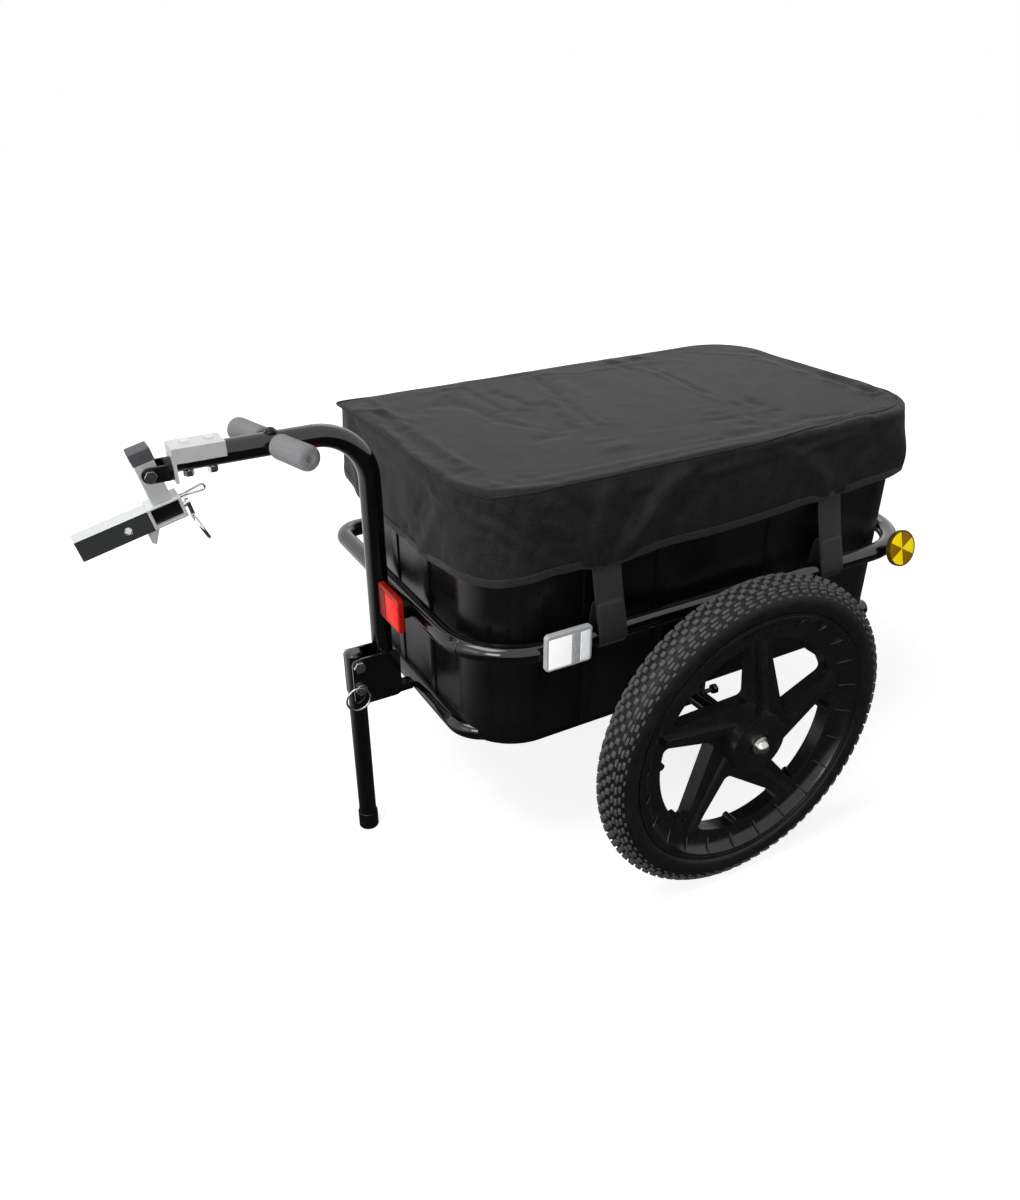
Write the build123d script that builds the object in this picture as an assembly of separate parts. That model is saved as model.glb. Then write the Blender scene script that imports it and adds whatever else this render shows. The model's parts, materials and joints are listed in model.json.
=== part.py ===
from build123d import *
import os
from math import acos, atan, cos, degrees, radians, sin, sqrt

# Two-wheeled tub trailer, towed behind a mobility scooter.
# Millimetres, +X towards the coupling, +Y to the left, +Z up, floor at z = 0.
# Everything is placed from the axle; at the end the whole trailer is moved along
# X, so that the origin is the middle of its outline on the floor.

# ---------------------------------------------------------------- sizes
# Wheels and axle
TYRE_RADIUS = 200.0
TYRE_SECTION = 50.0
HALF_TRACK = 290.0
RIM_LIP_RADIUS = 162.0
RIM_SEAT_RADIUS = 156.0
RIM_BED_RADIUS = 149.0
RIM_BED_WIDTH = 16.0
RIM_FACE_RADIUS = 154.0
RIM_DISH_RADIUS = 138.0
RIM_DISH_HOLLOW = 2.5
RIM_INNER_RADIUS = 130.0
RIM_WIDTH = 40.0
RIM_LIP_WALL = 3.5
DISC_THICKNESS = 18.0
HUB_RADIUS = 38.0
HUB_WIDTH = 52.0
BUSH_RADIUS = 14.0
STUB_RADIUS = 6.0
RUNNING_CLEARANCE = 0.05
WINDOW_APEX_RADIUS = 52.0
WINDOW_OUTER_RADIUS = 127.0
WINDOW_START_ANGLE = 95.0
WINDOW_END_ANGLE = 157.0
WINDOW_CORNER = 7.0
SPOKES = 5
CREST_WIDTH = 9.0
CREST_HEIGHT = 5.0
NUBS = 8
NUB_RADIUS = 4.5
NUB_FIRST_ANGLE = 2.0
AXLE_TUBE_RADIUS = 11.0
WASHER_RADIUS = 11.0
WASHER_THICKNESS = 2.5
NUT_RADIUS = 9.5
NUT_DOME_HEIGHT = 9.0
NUT_GAP = 0.5
AXLE_LUG_Y = 180.0
AXLE_LUG_WIDTH = 24.0
AXLE_LUG_THICKNESS = 5.0
AXLE_LUG_DROP = 28.0
AXLE_BOLT_RADIUS = 3.0
AXLE_BOLT_DROP = 18.0
AXLE_BOLT_REACH = 52.0
AXLE_BOLT_NUT_RADIUS = 6.5
AXLE_BOLT_NUT_HEIGHT = 6.0

# Frame
TUBE_RADIUS = 11.0
LOOP_HEIGHT = 330.0
LOOP_FRONT = 298.0
LOOP_REAR = -356.0
LOOP_HALF_WIDTH = 201.0
LOOP_CORNER = 86.0
LOOP_TIGHT_CORNER = 28.0
RAIL_FRONT = 280.0
RAIL_REAR = -350.0
RAIL_HALF_WIDTH = 140.0
RAIL_CORNER = 36.0
UPPER_JOINT_HALF_WIDTH = 18.0
UPPER_JOINT_HALF_HEIGHT = 16.0
LOWER_JOINT_HALF_WIDTH = 8.0
LOWER_JOINT_HALF_HEIGHT = 5.0
AXLE_HEIGHT = TYRE_RADIUS

# Tub
TUB_WALL = 3.0
TUB_SHELF_HEIGHT = AXLE_HEIGHT + TUBE_RADIUS
TUB_BOTTOM_HEIGHT = 196.0
TUB_RAIL_CLEARANCE = 1.0
TUB_AXLE_CLEARANCE = 3.0
TUB_TOP_HEIGHT = 509.0
TUB_FRONT = 284.0
TUB_REAR = -342.0
TUB_HALF_WIDTH = 187.0
TUB_CORNER = 74.0
TUB_DRAFT = 6.0
TUB_RIB_WIDTH = 12.0
TUB_RIB_OFFSETS = (81.0, 179.0)
TUB_END_RIB_OFFSET = 45.0
TUB_FOOT_INSET = 2.0
TUB_RIB_DEPTH = 2.0
TUB_FOOT_HEIGHT = 9.0
TUB_RIM_FLARE = 3.0
TUB_RIM_HEIGHT = 16.0

# Cover
COVER_GAP = 0.3
COVER_THICKNESS = 2.2
COVER_SKIRT = 96.0
COVER_HALF_WIDTH = 196.0
COVER_FRONT = 294.0
COVER_REAR = -352.0
COVER_CORNER = 45.0

# Drawbar and handle
DRAWBAR_RADIUS = 12.5
DRAWBAR_X = 325.0
DRAWBAR_FOOT = 198.0
DRAWBAR_TOP = 538.0
DRAWBAR_BEND = 60.0
DRAWBAR_END = 529.0
HANDLE_X = 429.0
HANDLE_HALF_LENGTH = 78.0
HANDLE_SKEW = 12.0
HANDLE_ROLL = 2.7
HANDLE_BAR_RADIUS = 8.0
GRIP_RADIUS = 13.5
GRIP_START = 16.5
GRIP_END_WALL = 4.0
GRIP_ROUND = 2.5

# Leg and its bracket
LEG_X = 362.0
LEG_RADIUS = 11.0
LEG_PIVOT_HEIGHT = 253.0
LEG_TOP_ABOVE_PIVOT = 13.0
LEG_FOOT_HEIGHT = 24.0
LEG_FOOT_WALL = 1.6
LEG_TOP_ROUND = 4.0
LEG_FOOT_ROUND = 1.5
LOCK_PIN_DROP = 31.0
LOCK_PIN_TAIL = 4.0
LOCK_PIN_HEAD_RADIUS = 7.0
LOCK_PIN_HEAD_HEIGHT = 4.5
CLIP_RADIUS = 15.0
CLIP_WIRE_RADIUS = 1.3
CLIP_AHEAD = 6.0
CLIP_DROP = 10.0
CLIP_GAP = 0.2
CHEEK_THICKNESS = 3.0
CHEEK_AHEAD = 8.0
CHEEK_BEHIND = 16.0
CHEEK_TOP = 262.0
CHEEK_BOTTOM = 198.0
CHEEK_CORNER = 8.0
PIVOT_RADIUS = 4.0
PIVOT_HEAD_RADIUS = 7.5
PIVOT_HEAD_HEIGHT = 5.0

# Reflectors
REFLECTOR_LENGTH = 58.0
REFLECTOR_HEIGHT = 44.0
REFLECTOR_THICKNESS = 7.0
REFLECTOR_CORNER = 5.0
REFLECTOR_RISE = 7.0
REFLECTOR_STUB_HALF = 8.0
REFLECTOR_CLIP_WALL = 2.0
REFLECTOR_CLIP_HALF = 8.0
FRONT_REFLECTOR_AHEAD = 5.0
FRONT_REFLECTOR_GAP = 1.0
SIDE_REFLECTOR_X = 199.0
ROUND_REFLECTOR_RADIUS = 23.5
ROUND_REFLECTOR_THICKNESS = 7.0
ROUND_REFLECTOR_X = -304.0
ROUND_REFLECTOR_TILT = 16.0
ROUND_REFLECTOR_RISE = 5.0
ROUND_REFLECTOR_GAP = 3.0
ROUND_STUB_RADIUS = 7.0
ROUND_STUB_LENGTH = 18.0

# Straps
STRAP_WIDTH = 38.0
STRAP_THICKNESS = 1.8
STRAP_FRONT_X = 137.0
STRAP_REAR_X = -190.0
STRAP_TOP = 424.0

# Coupling
COUPLING_TILT = 14.0
SADDLE_LENGTH = 50.0
SADDLE_WALL = 3.0
SADDLE_BOLT_PLACES = (13.0, 37.0)
SADDLE_BOLT_RADIUS = 3.0
SADDLE_HEX_RADIUS = 5.5
SADDLE_HEAD_HEIGHT = 3.0
SADDLE_NUT_HEIGHT = 6.0
SWIVEL_RADIUS = 12.0
SWIVEL_THICKNESS = 7.0
SWIVEL_GAP = 0.3
SWIVEL_DROP = 8.0
FORK_GAP = 0.5
FORK_WALL = 3.0
FORK_BASE = 3.0
FORK_HALF_HEIGHT = 8.0
CROSS_BOLT_RADIUS = 4.0
CROSS_BOLT_AHEAD = 23.0
CROSS_HEX_RADIUS = 6.5
CROSS_HEX_HEIGHT = 4.0
POST_WIDTH = 20.0
POST_TOP = 13.0
POST_BOTTOM = -30.0
CAP_HEIGHT = 14.0
CAP_OVERLAP = 1.0
CAP_ROUND = 2.0
SPINDLE_RADIUS = 7.0
SPINDLE_END_GAP = 0.5
BLOCK_GAP = 1.0
BLOCK_LENGTH = 29.0
BLOCK_WIDTH = 18.0
BLOCK_HEIGHT = 17.5
BLOCK_FLOOR = 2.0
BRACKET_WALL = 3.0
BRACKET_LID = 2.0
BRACKET_WIDTH = 28.0
LUG_THICKNESS = 6.0
LUG_REAR = 9.0
LUG_FRONT = 26.0
LUG_TIP_HEIGHT = -73.0
LUG_TIP_WIDTH = 3.5
BAR_WIDTH = 22.0
BAR_WALL = 3.0
BAR_LENGTH = 74.0
BAR_CENTRE = -44.0
BAR_BORE_DEPTH = 12.0
BAR_PIN_FROM_END = 50.0
BAR_PIN_RADIUS = 4.0
LEVER_GAP = 3.0
LEVER_THICKNESS = 4.0
LEVER_WIDTH = 14.0
LEVER_TOP = -39.5
LEVER_BOTTOM = -58.5
LEVER_SCREW_RADIUS = 3.0
LEVER_SCREW_HEIGHT = -46.0
RING_RADIUS = 15.0
RING_WIRE_RADIUS = 2.0
RING_HEIGHT = -74.0
RING_BACK = 24.5
RING_LEAN = 12.0
PULL_HEIGHT = -36.0
PULL_SHANK = 8.0
PULL_SHANK_RADIUS = 2.2
PULL_WIRE_RADIUS = 1.2
PULL_LOOP_LENGTH = 19.0
PULL_LOOP_RADIUS = 3.2

# ---------------------------------------------------------------- worked out
LOOP_MIDDLE = (LOOP_FRONT + LOOP_REAR) / 2
TUB_MIDDLE = (TUB_FRONT + TUB_REAR) / 2
TUB_HEIGHT = TUB_TOP_HEIGHT - TUB_BOTTOM_HEIGHT
COVER_TOP = TUB_TOP_HEIGHT + COVER_GAP + COVER_THICKNESS
COVER_HEM = COVER_TOP - COVER_SKIRT
STUB_START = HALF_TRACK - HUB_WIDTH / 2 - WASHER_THICKNESS
STUB_END = HALF_TRACK + HUB_WIDTH / 2 + WASHER_THICKNESS
DRAWBAR_REAR = DRAWBAR_X - DRAWBAR_RADIUS
LOCK_PIN_HEIGHT = LEG_PIVOT_HEIGHT - LOCK_PIN_DROP
REFLECTOR_HEIGHT_ON_LOOP = LOOP_HEIGHT + REFLECTOR_RISE
CHEEK_Y = DRAWBAR_RADIUS
CHEEK_OUTSIDE = CHEEK_Y + CHEEK_THICKNESS
CHEEK_FRONT = LEG_X + CHEEK_AHEAD
CHEEK_REAR = DRAWBAR_X - CHEEK_BEHIND
PLATE_FRONT = DRAWBAR_END + SADDLE_WALL
SWIVEL_HEIGHT = DRAWBAR_TOP - SWIVEL_DROP
SWIVEL_FRONT = PLATE_FRONT + SWIVEL_THICKNESS
FORK_INSIDE = POST_WIDTH / 2 + FORK_GAP
FORK_OUTSIDE = FORK_INSIDE + FORK_WALL
COUPLING_X = PLATE_FRONT + CROSS_BOLT_AHEAD
LID_TOP = POST_BOTTOM - BLOCK_GAP
BLOCK_TOP = LID_TOP - BRACKET_LID
BLOCK_BOTTOM = BLOCK_TOP - BLOCK_HEIGHT
BRACKET_BOTTOM = BLOCK_BOTTOM - BRACKET_WALL
BRACKET_END = BLOCK_LENGTH / 2 + BRACKET_WALL


def cylinder_y(radius, y0, y1, x=0.0, z=0.0):
    """Round bar along Y between two places."""
    middle = (y0 + y1) / 2
    return Pos(x, middle, z) * Rot(90, 0, 0) * Cylinder(radius, abs(y1 - y0))


def cylinder_x(radius, x0, x1, y=0.0, z=0.0):
    """Round bar along X between two places."""
    middle = (x0 + x1) / 2
    return Pos(middle, y, z) * Rot(0, 90, 0) * Cylinder(radius, abs(x1 - x0))


def cylinder_z(radius, z0, z1, x=0.0, y=0.0):
    """Round bar along Z between two heights."""
    return Pos(x, y, (z0 + z1) / 2) * Cylinder(radius, abs(z1 - z0))


def box_between(x0, x1, y0, y1, z0, z1):
    """Box given by its limits."""
    centre = Pos((x0 + x1) / 2, (y0 + y1) / 2, (z0 + z1) / 2)
    return centre * Box(abs(x1 - x0), abs(y1 - y0), abs(z1 - z0))


def rod_along(path, radius):
    """Round bar that follows a path."""
    start = Plane(origin=path @ 0, z_dir=path % 0)
    return sweep(start * Circle(radius), path=path)


def rounded_block(front, rear, half_width, corner, bottom, height, taper=0.0):
    """Upright block with rounded corners, wider at the top by its taper."""
    outline = Pos((front + rear) / 2, 0, bottom) * RectangleRounded(front - rear, 2 * half_width, corner)
    return extrude(outline, amount=height, dir=(0, 0, 1), taper=-taper)


# ---------------------------------------------------------------- wheels
def ring_of(points):
    """Turn an outline of (axial, radial) points about the wheel's axle."""
    outline = make_face(Polyline(*[(a, r) for a, r in points], close=True))
    turned = revolve(outline, axis=Axis.X)
    return Rot(0, 0, 90) * turned


def seat_points():
    """Outline of the tyre's seat between the rim's lips, from one lip to the other."""
    lip = RIM_WIDTH / 2 - RIM_LIP_WALL
    bed = RIM_BED_WIDTH / 2
    return [(lip, RIM_LIP_RADIUS), (lip, RIM_SEAT_RADIUS), (bed, RIM_BED_RADIUS),
            (-bed, RIM_BED_RADIUS), (-lip, RIM_SEAT_RADIUS), (-lip, RIM_LIP_RADIUS)]


def rim_section():
    """Section of the rim: two dished faces, two lips and the seat between them."""
    half = RIM_WIDTH / 2
    web = DISC_THICKNESS / 2
    edges = [Line((-web, RIM_INNER_RADIUS), (web, RIM_INNER_RADIUS))]
    for side in (1, -1):
        outer = (side * half, RIM_FACE_RADIUS)
        inner = (side * web, RIM_DISH_RADIUS)
        slope = sqrt((half - web) ** 2 + (RIM_FACE_RADIUS - RIM_DISH_RADIUS) ** 2)
        middle_along = (half + web) / 2 - RIM_DISH_HOLLOW * (RIM_FACE_RADIUS - RIM_DISH_RADIUS) / slope
        middle_radius = (RIM_FACE_RADIUS + RIM_DISH_RADIUS) / 2 + RIM_DISH_HOLLOW * (half - web) / slope
        edges.append(Line((side * web, RIM_INNER_RADIUS), inner))
        edges.append(ThreePointArc(inner, (side * middle_along, middle_radius), outer))
        edges.append(Line(outer, (side * half, RIM_LIP_RADIUS)))
        edges.append(Line((side * half, RIM_LIP_RADIUS), (side * (half - RIM_LIP_WALL), RIM_LIP_RADIUS)))
    edges.append(Polyline(*seat_points()))
    return make_face(edges)


def wheel_rim():
    """One-piece moulded wheel about Y, its middle at the origin, outside at +Y."""
    rim = Rot(0, 0, 90) * revolve(rim_section(), axis=Axis.X)
    disc = cylinder_y(RIM_INNER_RADIUS + 1, -DISC_THICKNESS / 2, DISC_THICKNESS / 2)
    for index in range(SPOKES):
        disc -= wheel_window(360 / SPOKES * index)
    for index in range(NUBS):
        disc += wheel_nub(NUB_FIRST_ANGLE + 360 / NUBS * index)
    hub = cylinder_y(HUB_RADIUS, -HUB_WIDTH / 2 + WINDOW_CORNER, HUB_WIDTH / 2)
    back_boss = cylinder_y(HUB_RADIUS / 2, -HUB_WIDTH / 2, 0)
    wheel = rim + disc + hub + back_boss
    for index in range(SPOKES):
        wheel += wheel_crest(360 / SPOKES * index)
    bore = cylinder_y(BUSH_RADIUS, -HUB_WIDTH, HUB_WIDTH)
    return wheel - bore


def wheel_nub(angle):
    """Round boss on the inside of the rim's ring."""
    place = polar(WINDOW_OUTER_RADIUS - 1, angle)
    return cylinder_y(NUB_RADIUS, -DISC_THICKNESS / 2, DISC_THICKNESS / 2, *place)


def polar(radius, angle):
    """Point in the wheel's plane; the angle runs from front to top."""
    return (radius * cos(radians(angle)), radius * sin(radians(angle)))


def wheel_window(turn):
    """One window: a straight radial side, a slanting side and the rim's arc."""
    apex = polar(WINDOW_APEX_RADIUS, WINDOW_END_ANGLE + turn)
    last = polar(WINDOW_OUTER_RADIUS, WINDOW_END_ANGLE + turn)
    first = polar(WINDOW_OUTER_RADIUS, WINDOW_START_ANGLE + turn)
    middle = polar(WINDOW_OUTER_RADIUS, (WINDOW_START_ANGLE + WINDOW_END_ANGLE) / 2 + turn)
    edges = [Line(apex, last), ThreePointArc(last, middle, first), Line(first, apex)]
    outline = make_face(edges)
    outline = fillet(outline.vertices(), WINDOW_CORNER)
    depth = DISC_THICKNESS + 2
    upright = Plane(origin=(0, depth / 2, 0), x_dir=(1, 0, 0), z_dir=(0, -1, 0))
    return extrude(upright * outline, amount=depth)


def wheel_crest(turn):
    """Raised rib along the middle of a spoke."""
    start = polar(HUB_RADIUS - 3, WINDOW_END_ANGLE - 41 + turn)
    end = polar(RIM_INNER_RADIUS + 2, WINDOW_START_ANGLE - 6 + turn)
    length = sqrt((end[0] - start[0]) ** 2 + (end[1] - start[1]) ** 2)
    direction = Vector(end[0] - start[0], 0, end[1] - start[1])
    middle = Vector((end[0] + start[0]) / 2, DISC_THICKNESS / 2, (end[1] + start[1]) / 2)
    along = Plane(origin=middle, x_dir=direction, z_dir=(0, 1, 0))
    return along * Box(length, CREST_WIDTH, 2 * CREST_HEIGHT)


def wheel_tyre():
    """Tyre carcass: a round section seated between the rim's lips."""
    section = Pos(TYRE_RADIUS - TYRE_SECTION / 2, 0) * Circle(TYRE_SECTION / 2)
    ring = revolve(Plane.YZ * Rot(0, 0, 90) * section, axis=Axis.Y)
    half = RIM_WIDTH / 2
    seat = ring_of([(half, 0), (half, RIM_LIP_RADIUS)] + seat_points()
                   + [(-half, RIM_LIP_RADIUS), (-half, 0)])
    return ring - seat


def wheel_bush():
    """Plain bearing pressed into the hub, running on the stub axle."""
    outside = cylinder_y(BUSH_RADIUS, -HUB_WIDTH / 2, HUB_WIDTH / 2)
    bore = cylinder_y(STUB_RADIUS + RUNNING_CLEARANCE, -HUB_WIDTH, HUB_WIDTH)
    return outside - bore


# ---------------------------------------------------------------- frame
def upper_loop():
    """Closed tube loop that holds the tub at half height."""
    length = LOOP_FRONT - LOOP_REAR
    outline = Rectangle(length, 2 * LOOP_HALF_WIDTH)
    wide = outline.vertices().sort_by(lambda corner: corner.X - corner.Y)[:-1]
    outline = fillet(wide, LOOP_CORNER)
    tight = outline.vertices().sort_by(lambda corner: corner.X - corner.Y)[-1]
    outline = fillet(tight, LOOP_TIGHT_CORNER)
    path = (Pos(LOOP_MIDDLE, 0, LOOP_HEIGHT) * outline).wire()
    return rod_along(path, TUBE_RADIUS)


def rail_path():
    """Centre line of the lower frame: two rails and the front cross tube."""
    back = RAIL_REAR
    front = RAIL_FRONT
    side = RAIL_HALF_WIDTH
    bend = RAIL_CORNER
    left = Line((back, side, AXLE_HEIGHT), (front - bend, side, AXLE_HEIGHT))
    turn_left = tangent_corner(front - bend, side - bend, bend, 90)
    cross = Line((front, side - bend, AXLE_HEIGHT), (front, bend - side, AXLE_HEIGHT))
    turn_right = tangent_corner(front - bend, bend - side, bend, 0)
    right = Line((front - bend, -side, AXLE_HEIGHT), (back, -side, AXLE_HEIGHT))
    return Wire([left, turn_left, cross, turn_right, right])


def tangent_corner(x, y, radius, start):
    """Quarter bend in the lower frame's plane, run clockwise from its start angle."""
    points = []
    for angle in (start, start - 45, start - 90):
        points.append((x + radius * cos(radians(angle)), y + radius * sin(radians(angle)), AXLE_HEIGHT))
    return ThreePointArc(*points)


def lower_frame():
    """Tube bent to a U that carries the tub from below."""
    return rod_along(rail_path(), TUBE_RADIUS)


def axle():
    """Axle tube under the tub with a stub at each end."""
    tube = cylinder_y(AXLE_TUBE_RADIUS, -STUB_START, STUB_START, z=AXLE_HEIGHT)
    stubs = cylinder_y(STUB_RADIUS, -STUB_END, STUB_END, z=AXLE_HEIGHT)
    rails = lower_frame()
    return tube + stubs + axle_lug(1) + axle_lug(-1) - rails


def axle_lug(side):
    """Plate under the axle tube, with a bolt that reaches back to its nut."""
    y = side * AXLE_LUG_Y
    half = AXLE_LUG_THICKNESS / 2
    plate = box_between(-AXLE_LUG_WIDTH / 2, AXLE_LUG_WIDTH / 2, y - half, y + half,
                        AXLE_HEIGHT - AXLE_LUG_DROP, AXLE_HEIGHT)
    height = AXLE_HEIGHT - AXLE_BOLT_DROP
    bolt = cylinder_x(AXLE_BOLT_RADIUS, -AXLE_BOLT_REACH, 0, y, height)
    nut = Pos(-AXLE_BOLT_REACH, y, height) * Rot(0, 90, 0) * hex_head(AXLE_BOLT_NUT_RADIUS,
                                                                    AXLE_BOLT_NUT_HEIGHT)
    return plate + bolt + nut


def strut(side):
    """Upright from the axle to the loop on one side."""
    return cylinder_z(TUBE_RADIUS, AXLE_HEIGHT, LOOP_HEIGHT, y=side * LOOP_HALF_WIDTH)


# ---------------------------------------------------------------- tub and cover
def tub():
    """Moulded open box with ribs, a stepped foot and a turned-out rim."""
    taper = degrees(atan(TUB_DRAFT / TUB_HEIGHT))
    bottom_half = TUB_HALF_WIDTH - TUB_DRAFT
    corner = TUB_CORNER - TUB_DRAFT
    shell = rounded_block(TUB_FRONT - TUB_DRAFT, TUB_REAR + TUB_DRAFT, bottom_half, corner,
                          TUB_BOTTOM_HEIGHT, TUB_HEIGHT, taper)
    for offset in TUB_RIB_OFFSETS:
        for side in (-1, 1):
            x = TUB_MIDDLE + side * offset
            shell += tub_rib(x, taper)
    for side in (-1, 1):
        shell += tub_end_rib(side * TUB_END_RIB_OFFSET, taper)
    step = rounded_block(TUB_FRONT, TUB_REAR, TUB_HALF_WIDTH + TUB_RIB_DEPTH, TUB_CORNER,
                         TUB_BOTTOM_HEIGHT, TUB_FOOT_HEIGHT)
    set_in = TUB_DRAFT + TUB_FOOT_INSET
    foot = rounded_block(TUB_FRONT - set_in, TUB_REAR + set_in, TUB_HALF_WIDTH - set_in,
                         TUB_CORNER - set_in, TUB_BOTTOM_HEIGHT, TUB_FOOT_HEIGHT)
    shell = shell - step + foot
    rim_bottom = TUB_TOP_HEIGHT - TUB_RIM_HEIGHT
    rim = rounded_block(TUB_FRONT + TUB_RIM_FLARE, TUB_REAR - TUB_RIM_FLARE,
                        TUB_HALF_WIDTH + TUB_RIM_FLARE, TUB_CORNER + TUB_RIM_FLARE,
                        rim_bottom, TUB_RIM_HEIGHT)
    shell = shell + rim
    inside = TUB_DRAFT + TUB_WALL
    hollow = rounded_block(TUB_FRONT - inside, TUB_REAR + inside, TUB_HALF_WIDTH - inside,
                           TUB_CORNER - inside, TUB_SHELF_HEIGHT + TUB_WALL, TUB_HEIGHT, taper)
    return shell - hollow - frame_recess()


def frame_recess():
    """Room under the tub's floor for the rails and across it for the axle."""
    beside = TUBE_RADIUS + TUB_RAIL_CLEARANCE
    height = TUB_SHELF_HEIGHT - TUB_BOTTOM_HEIGHT + 1
    rails = rounded_block(RAIL_FRONT + beside, RAIL_REAR - RAIL_HALF_WIDTH, RAIL_HALF_WIDTH + beside,
                          RAIL_CORNER + beside, TUB_BOTTOM_HEIGHT - 1, height)
    half = AXLE_LUG_WIDTH / 2 + TUB_AXLE_CLEARANCE
    crossing = box_between(-half, half, -TUB_HALF_WIDTH - 1, TUB_HALF_WIDTH + 1,
                           TUB_BOTTOM_HEIGHT - 1, TUB_SHELF_HEIGHT)
    return rails + crossing


def tub_rib(x, taper):
    """Upright rib on both long sides of the tub."""
    rib = Pos(x, 0, TUB_BOTTOM_HEIGHT) * Rectangle(TUB_RIB_WIDTH,
                                                   2 * (TUB_HALF_WIDTH - TUB_DRAFT + TUB_RIB_DEPTH))
    return extrude(rib, amount=TUB_HEIGHT, dir=(0, 0, 1), taper=-taper)


def tub_end_rib(y, taper):
    """Upright rib on the tub's front and rear."""
    length = TUB_FRONT - TUB_REAR - 2 * TUB_DRAFT + 2 * TUB_RIB_DEPTH
    rib = Pos(TUB_MIDDLE, y, TUB_BOTTOM_HEIGHT) * Rectangle(length, TUB_RIB_WIDTH)
    return extrude(rib, amount=TUB_HEIGHT, dir=(0, 0, 1), taper=-taper)


def cover():
    """Fitted fabric cover: a flat top and a skirt over the tub's rim."""
    outer = rounded_block(COVER_FRONT, COVER_REAR, COVER_HALF_WIDTH, COVER_CORNER,
                          COVER_HEM, COVER_SKIRT)
    inner = rounded_block(COVER_FRONT - COVER_THICKNESS, COVER_REAR + COVER_THICKNESS,
                          COVER_HALF_WIDTH - COVER_THICKNESS, COVER_CORNER - COVER_THICKNESS,
                          COVER_HEM - 1, COVER_SKIRT + 1 - COVER_THICKNESS)
    return outer - inner


def strap(x, side):
    """Webbing strap from inside the skirt down and round the loop's tube."""
    outer_radius = TUBE_RADIUS + STRAP_THICKNESS
    tube_ring = Circle(outer_radius) - Circle(TUBE_RADIUS)
    top_y = COVER_HALF_WIDTH - COVER_THICKNESS - COVER_GAP - STRAP_THICKNESS
    hem = COVER_HEM - 4
    slope = (LOOP_HALF_WIDTH + TUBE_RADIUS - top_y) / (hem - LOOP_HEIGHT)
    lean = sqrt(1 + slope ** 2)
    dy = TUBE_RADIUS / lean
    dz = TUBE_RADIUS * slope / lean
    inner = [(top_y - LOOP_HALF_WIDTH, STRAP_TOP - LOOP_HEIGHT),
             (top_y - LOOP_HALF_WIDTH, hem - LOOP_HEIGHT), (dy, dz)]
    grow = outer_radius / TUBE_RADIUS
    outer = [(dy * grow, dz * grow),
             (top_y + STRAP_THICKNESS - LOOP_HALF_WIDTH, hem - LOOP_HEIGHT),
             (top_y + STRAP_THICKNESS - LOOP_HALF_WIDTH, STRAP_TOP - LOOP_HEIGHT)]
    band = make_face(Polyline(*(inner + outer), close=True))
    profile = tube_ring + band
    start = Plane(origin=(x - STRAP_WIDTH / 2, side * LOOP_HALF_WIDTH, LOOP_HEIGHT),
                  x_dir=(0, side, 0), z_dir=(side, 0, 0))
    if side < 0:
        start = Plane(origin=(x + STRAP_WIDTH / 2, side * LOOP_HALF_WIDTH, LOOP_HEIGHT),
                      x_dir=(0, side, 0), z_dir=(side, 0, 0))
    return extrude(start * profile, amount=STRAP_WIDTH)


# ---------------------------------------------------------------- drawbar and handle
def drawbar():
    """Swan-neck tube from the lower frame up and forward to the coupling."""
    bend = DRAWBAR_BEND
    upright = Line((DRAWBAR_X, 0, DRAWBAR_FOOT), (DRAWBAR_X, 0, DRAWBAR_TOP - bend))
    centre = (DRAWBAR_X + bend, 0, DRAWBAR_TOP - bend)
    half = bend * cos(radians(45))
    neck = ThreePointArc((DRAWBAR_X, 0, DRAWBAR_TOP - bend),
                         (centre[0] - half, 0, centre[2] + half),
                         (DRAWBAR_X + bend, 0, DRAWBAR_TOP))
    arm = Line((DRAWBAR_X + bend, 0, DRAWBAR_TOP), (DRAWBAR_END, 0, DRAWBAR_TOP))
    bar = rod_along(Wire([upright, neck, arm]), DRAWBAR_RADIUS)
    return bar - handle_place() * cylinder_y(HANDLE_BAR_RADIUS, -HANDLE_HALF_LENGTH, HANDLE_HALF_LENGTH)


def handle_place():
    """Where the handle bar crosses the drawbar, turned a little on its bolt."""
    return Pos(HANDLE_X, 0, DRAWBAR_TOP) * Rot(0, 0, HANDLE_SKEW) * Rot(HANDLE_ROLL, 0, 0)


def handle_bar():
    """Steel bar through the drawbar."""
    reach = HANDLE_HALF_LENGTH - GRIP_END_WALL
    return handle_place() * cylinder_y(HANDLE_BAR_RADIUS, -reach, reach)


def handle_grip(side):
    """Foam grip on one half of the handle bar."""
    sleeve = cylinder_y(GRIP_RADIUS, side * GRIP_START, side * HANDLE_HALF_LENGTH)
    end = side * HANDLE_HALF_LENGTH
    rounded = sleeve.edges().filter_by(GeomType.CIRCLE).sort_by(Axis.Y)
    edge = rounded[-1] if side > 0 else rounded[0]
    sleeve = fillet(edge, GRIP_ROUND)
    core = cylinder_y(HANDLE_BAR_RADIUS, 0, end - side * GRIP_END_WALL)
    return handle_place() * (sleeve - core)


def frame_joint():
    """Plates that join the drawbar to the loop and to the lower frame."""
    upper = box_between(LOOP_FRONT + TUBE_RADIUS, DRAWBAR_REAR,
                        -UPPER_JOINT_HALF_WIDTH, UPPER_JOINT_HALF_WIDTH,
                        LOOP_HEIGHT - UPPER_JOINT_HALF_HEIGHT, LOOP_HEIGHT + UPPER_JOINT_HALF_HEIGHT)
    lower = box_between(RAIL_FRONT + TUBE_RADIUS, DRAWBAR_REAR,
                        -LOWER_JOINT_HALF_WIDTH, LOWER_JOINT_HALF_WIDTH,
                        AXLE_HEIGHT - LOWER_JOINT_HALF_HEIGHT, AXLE_HEIGHT + LOWER_JOINT_HALF_HEIGHT)
    return [upper, lower]


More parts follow.
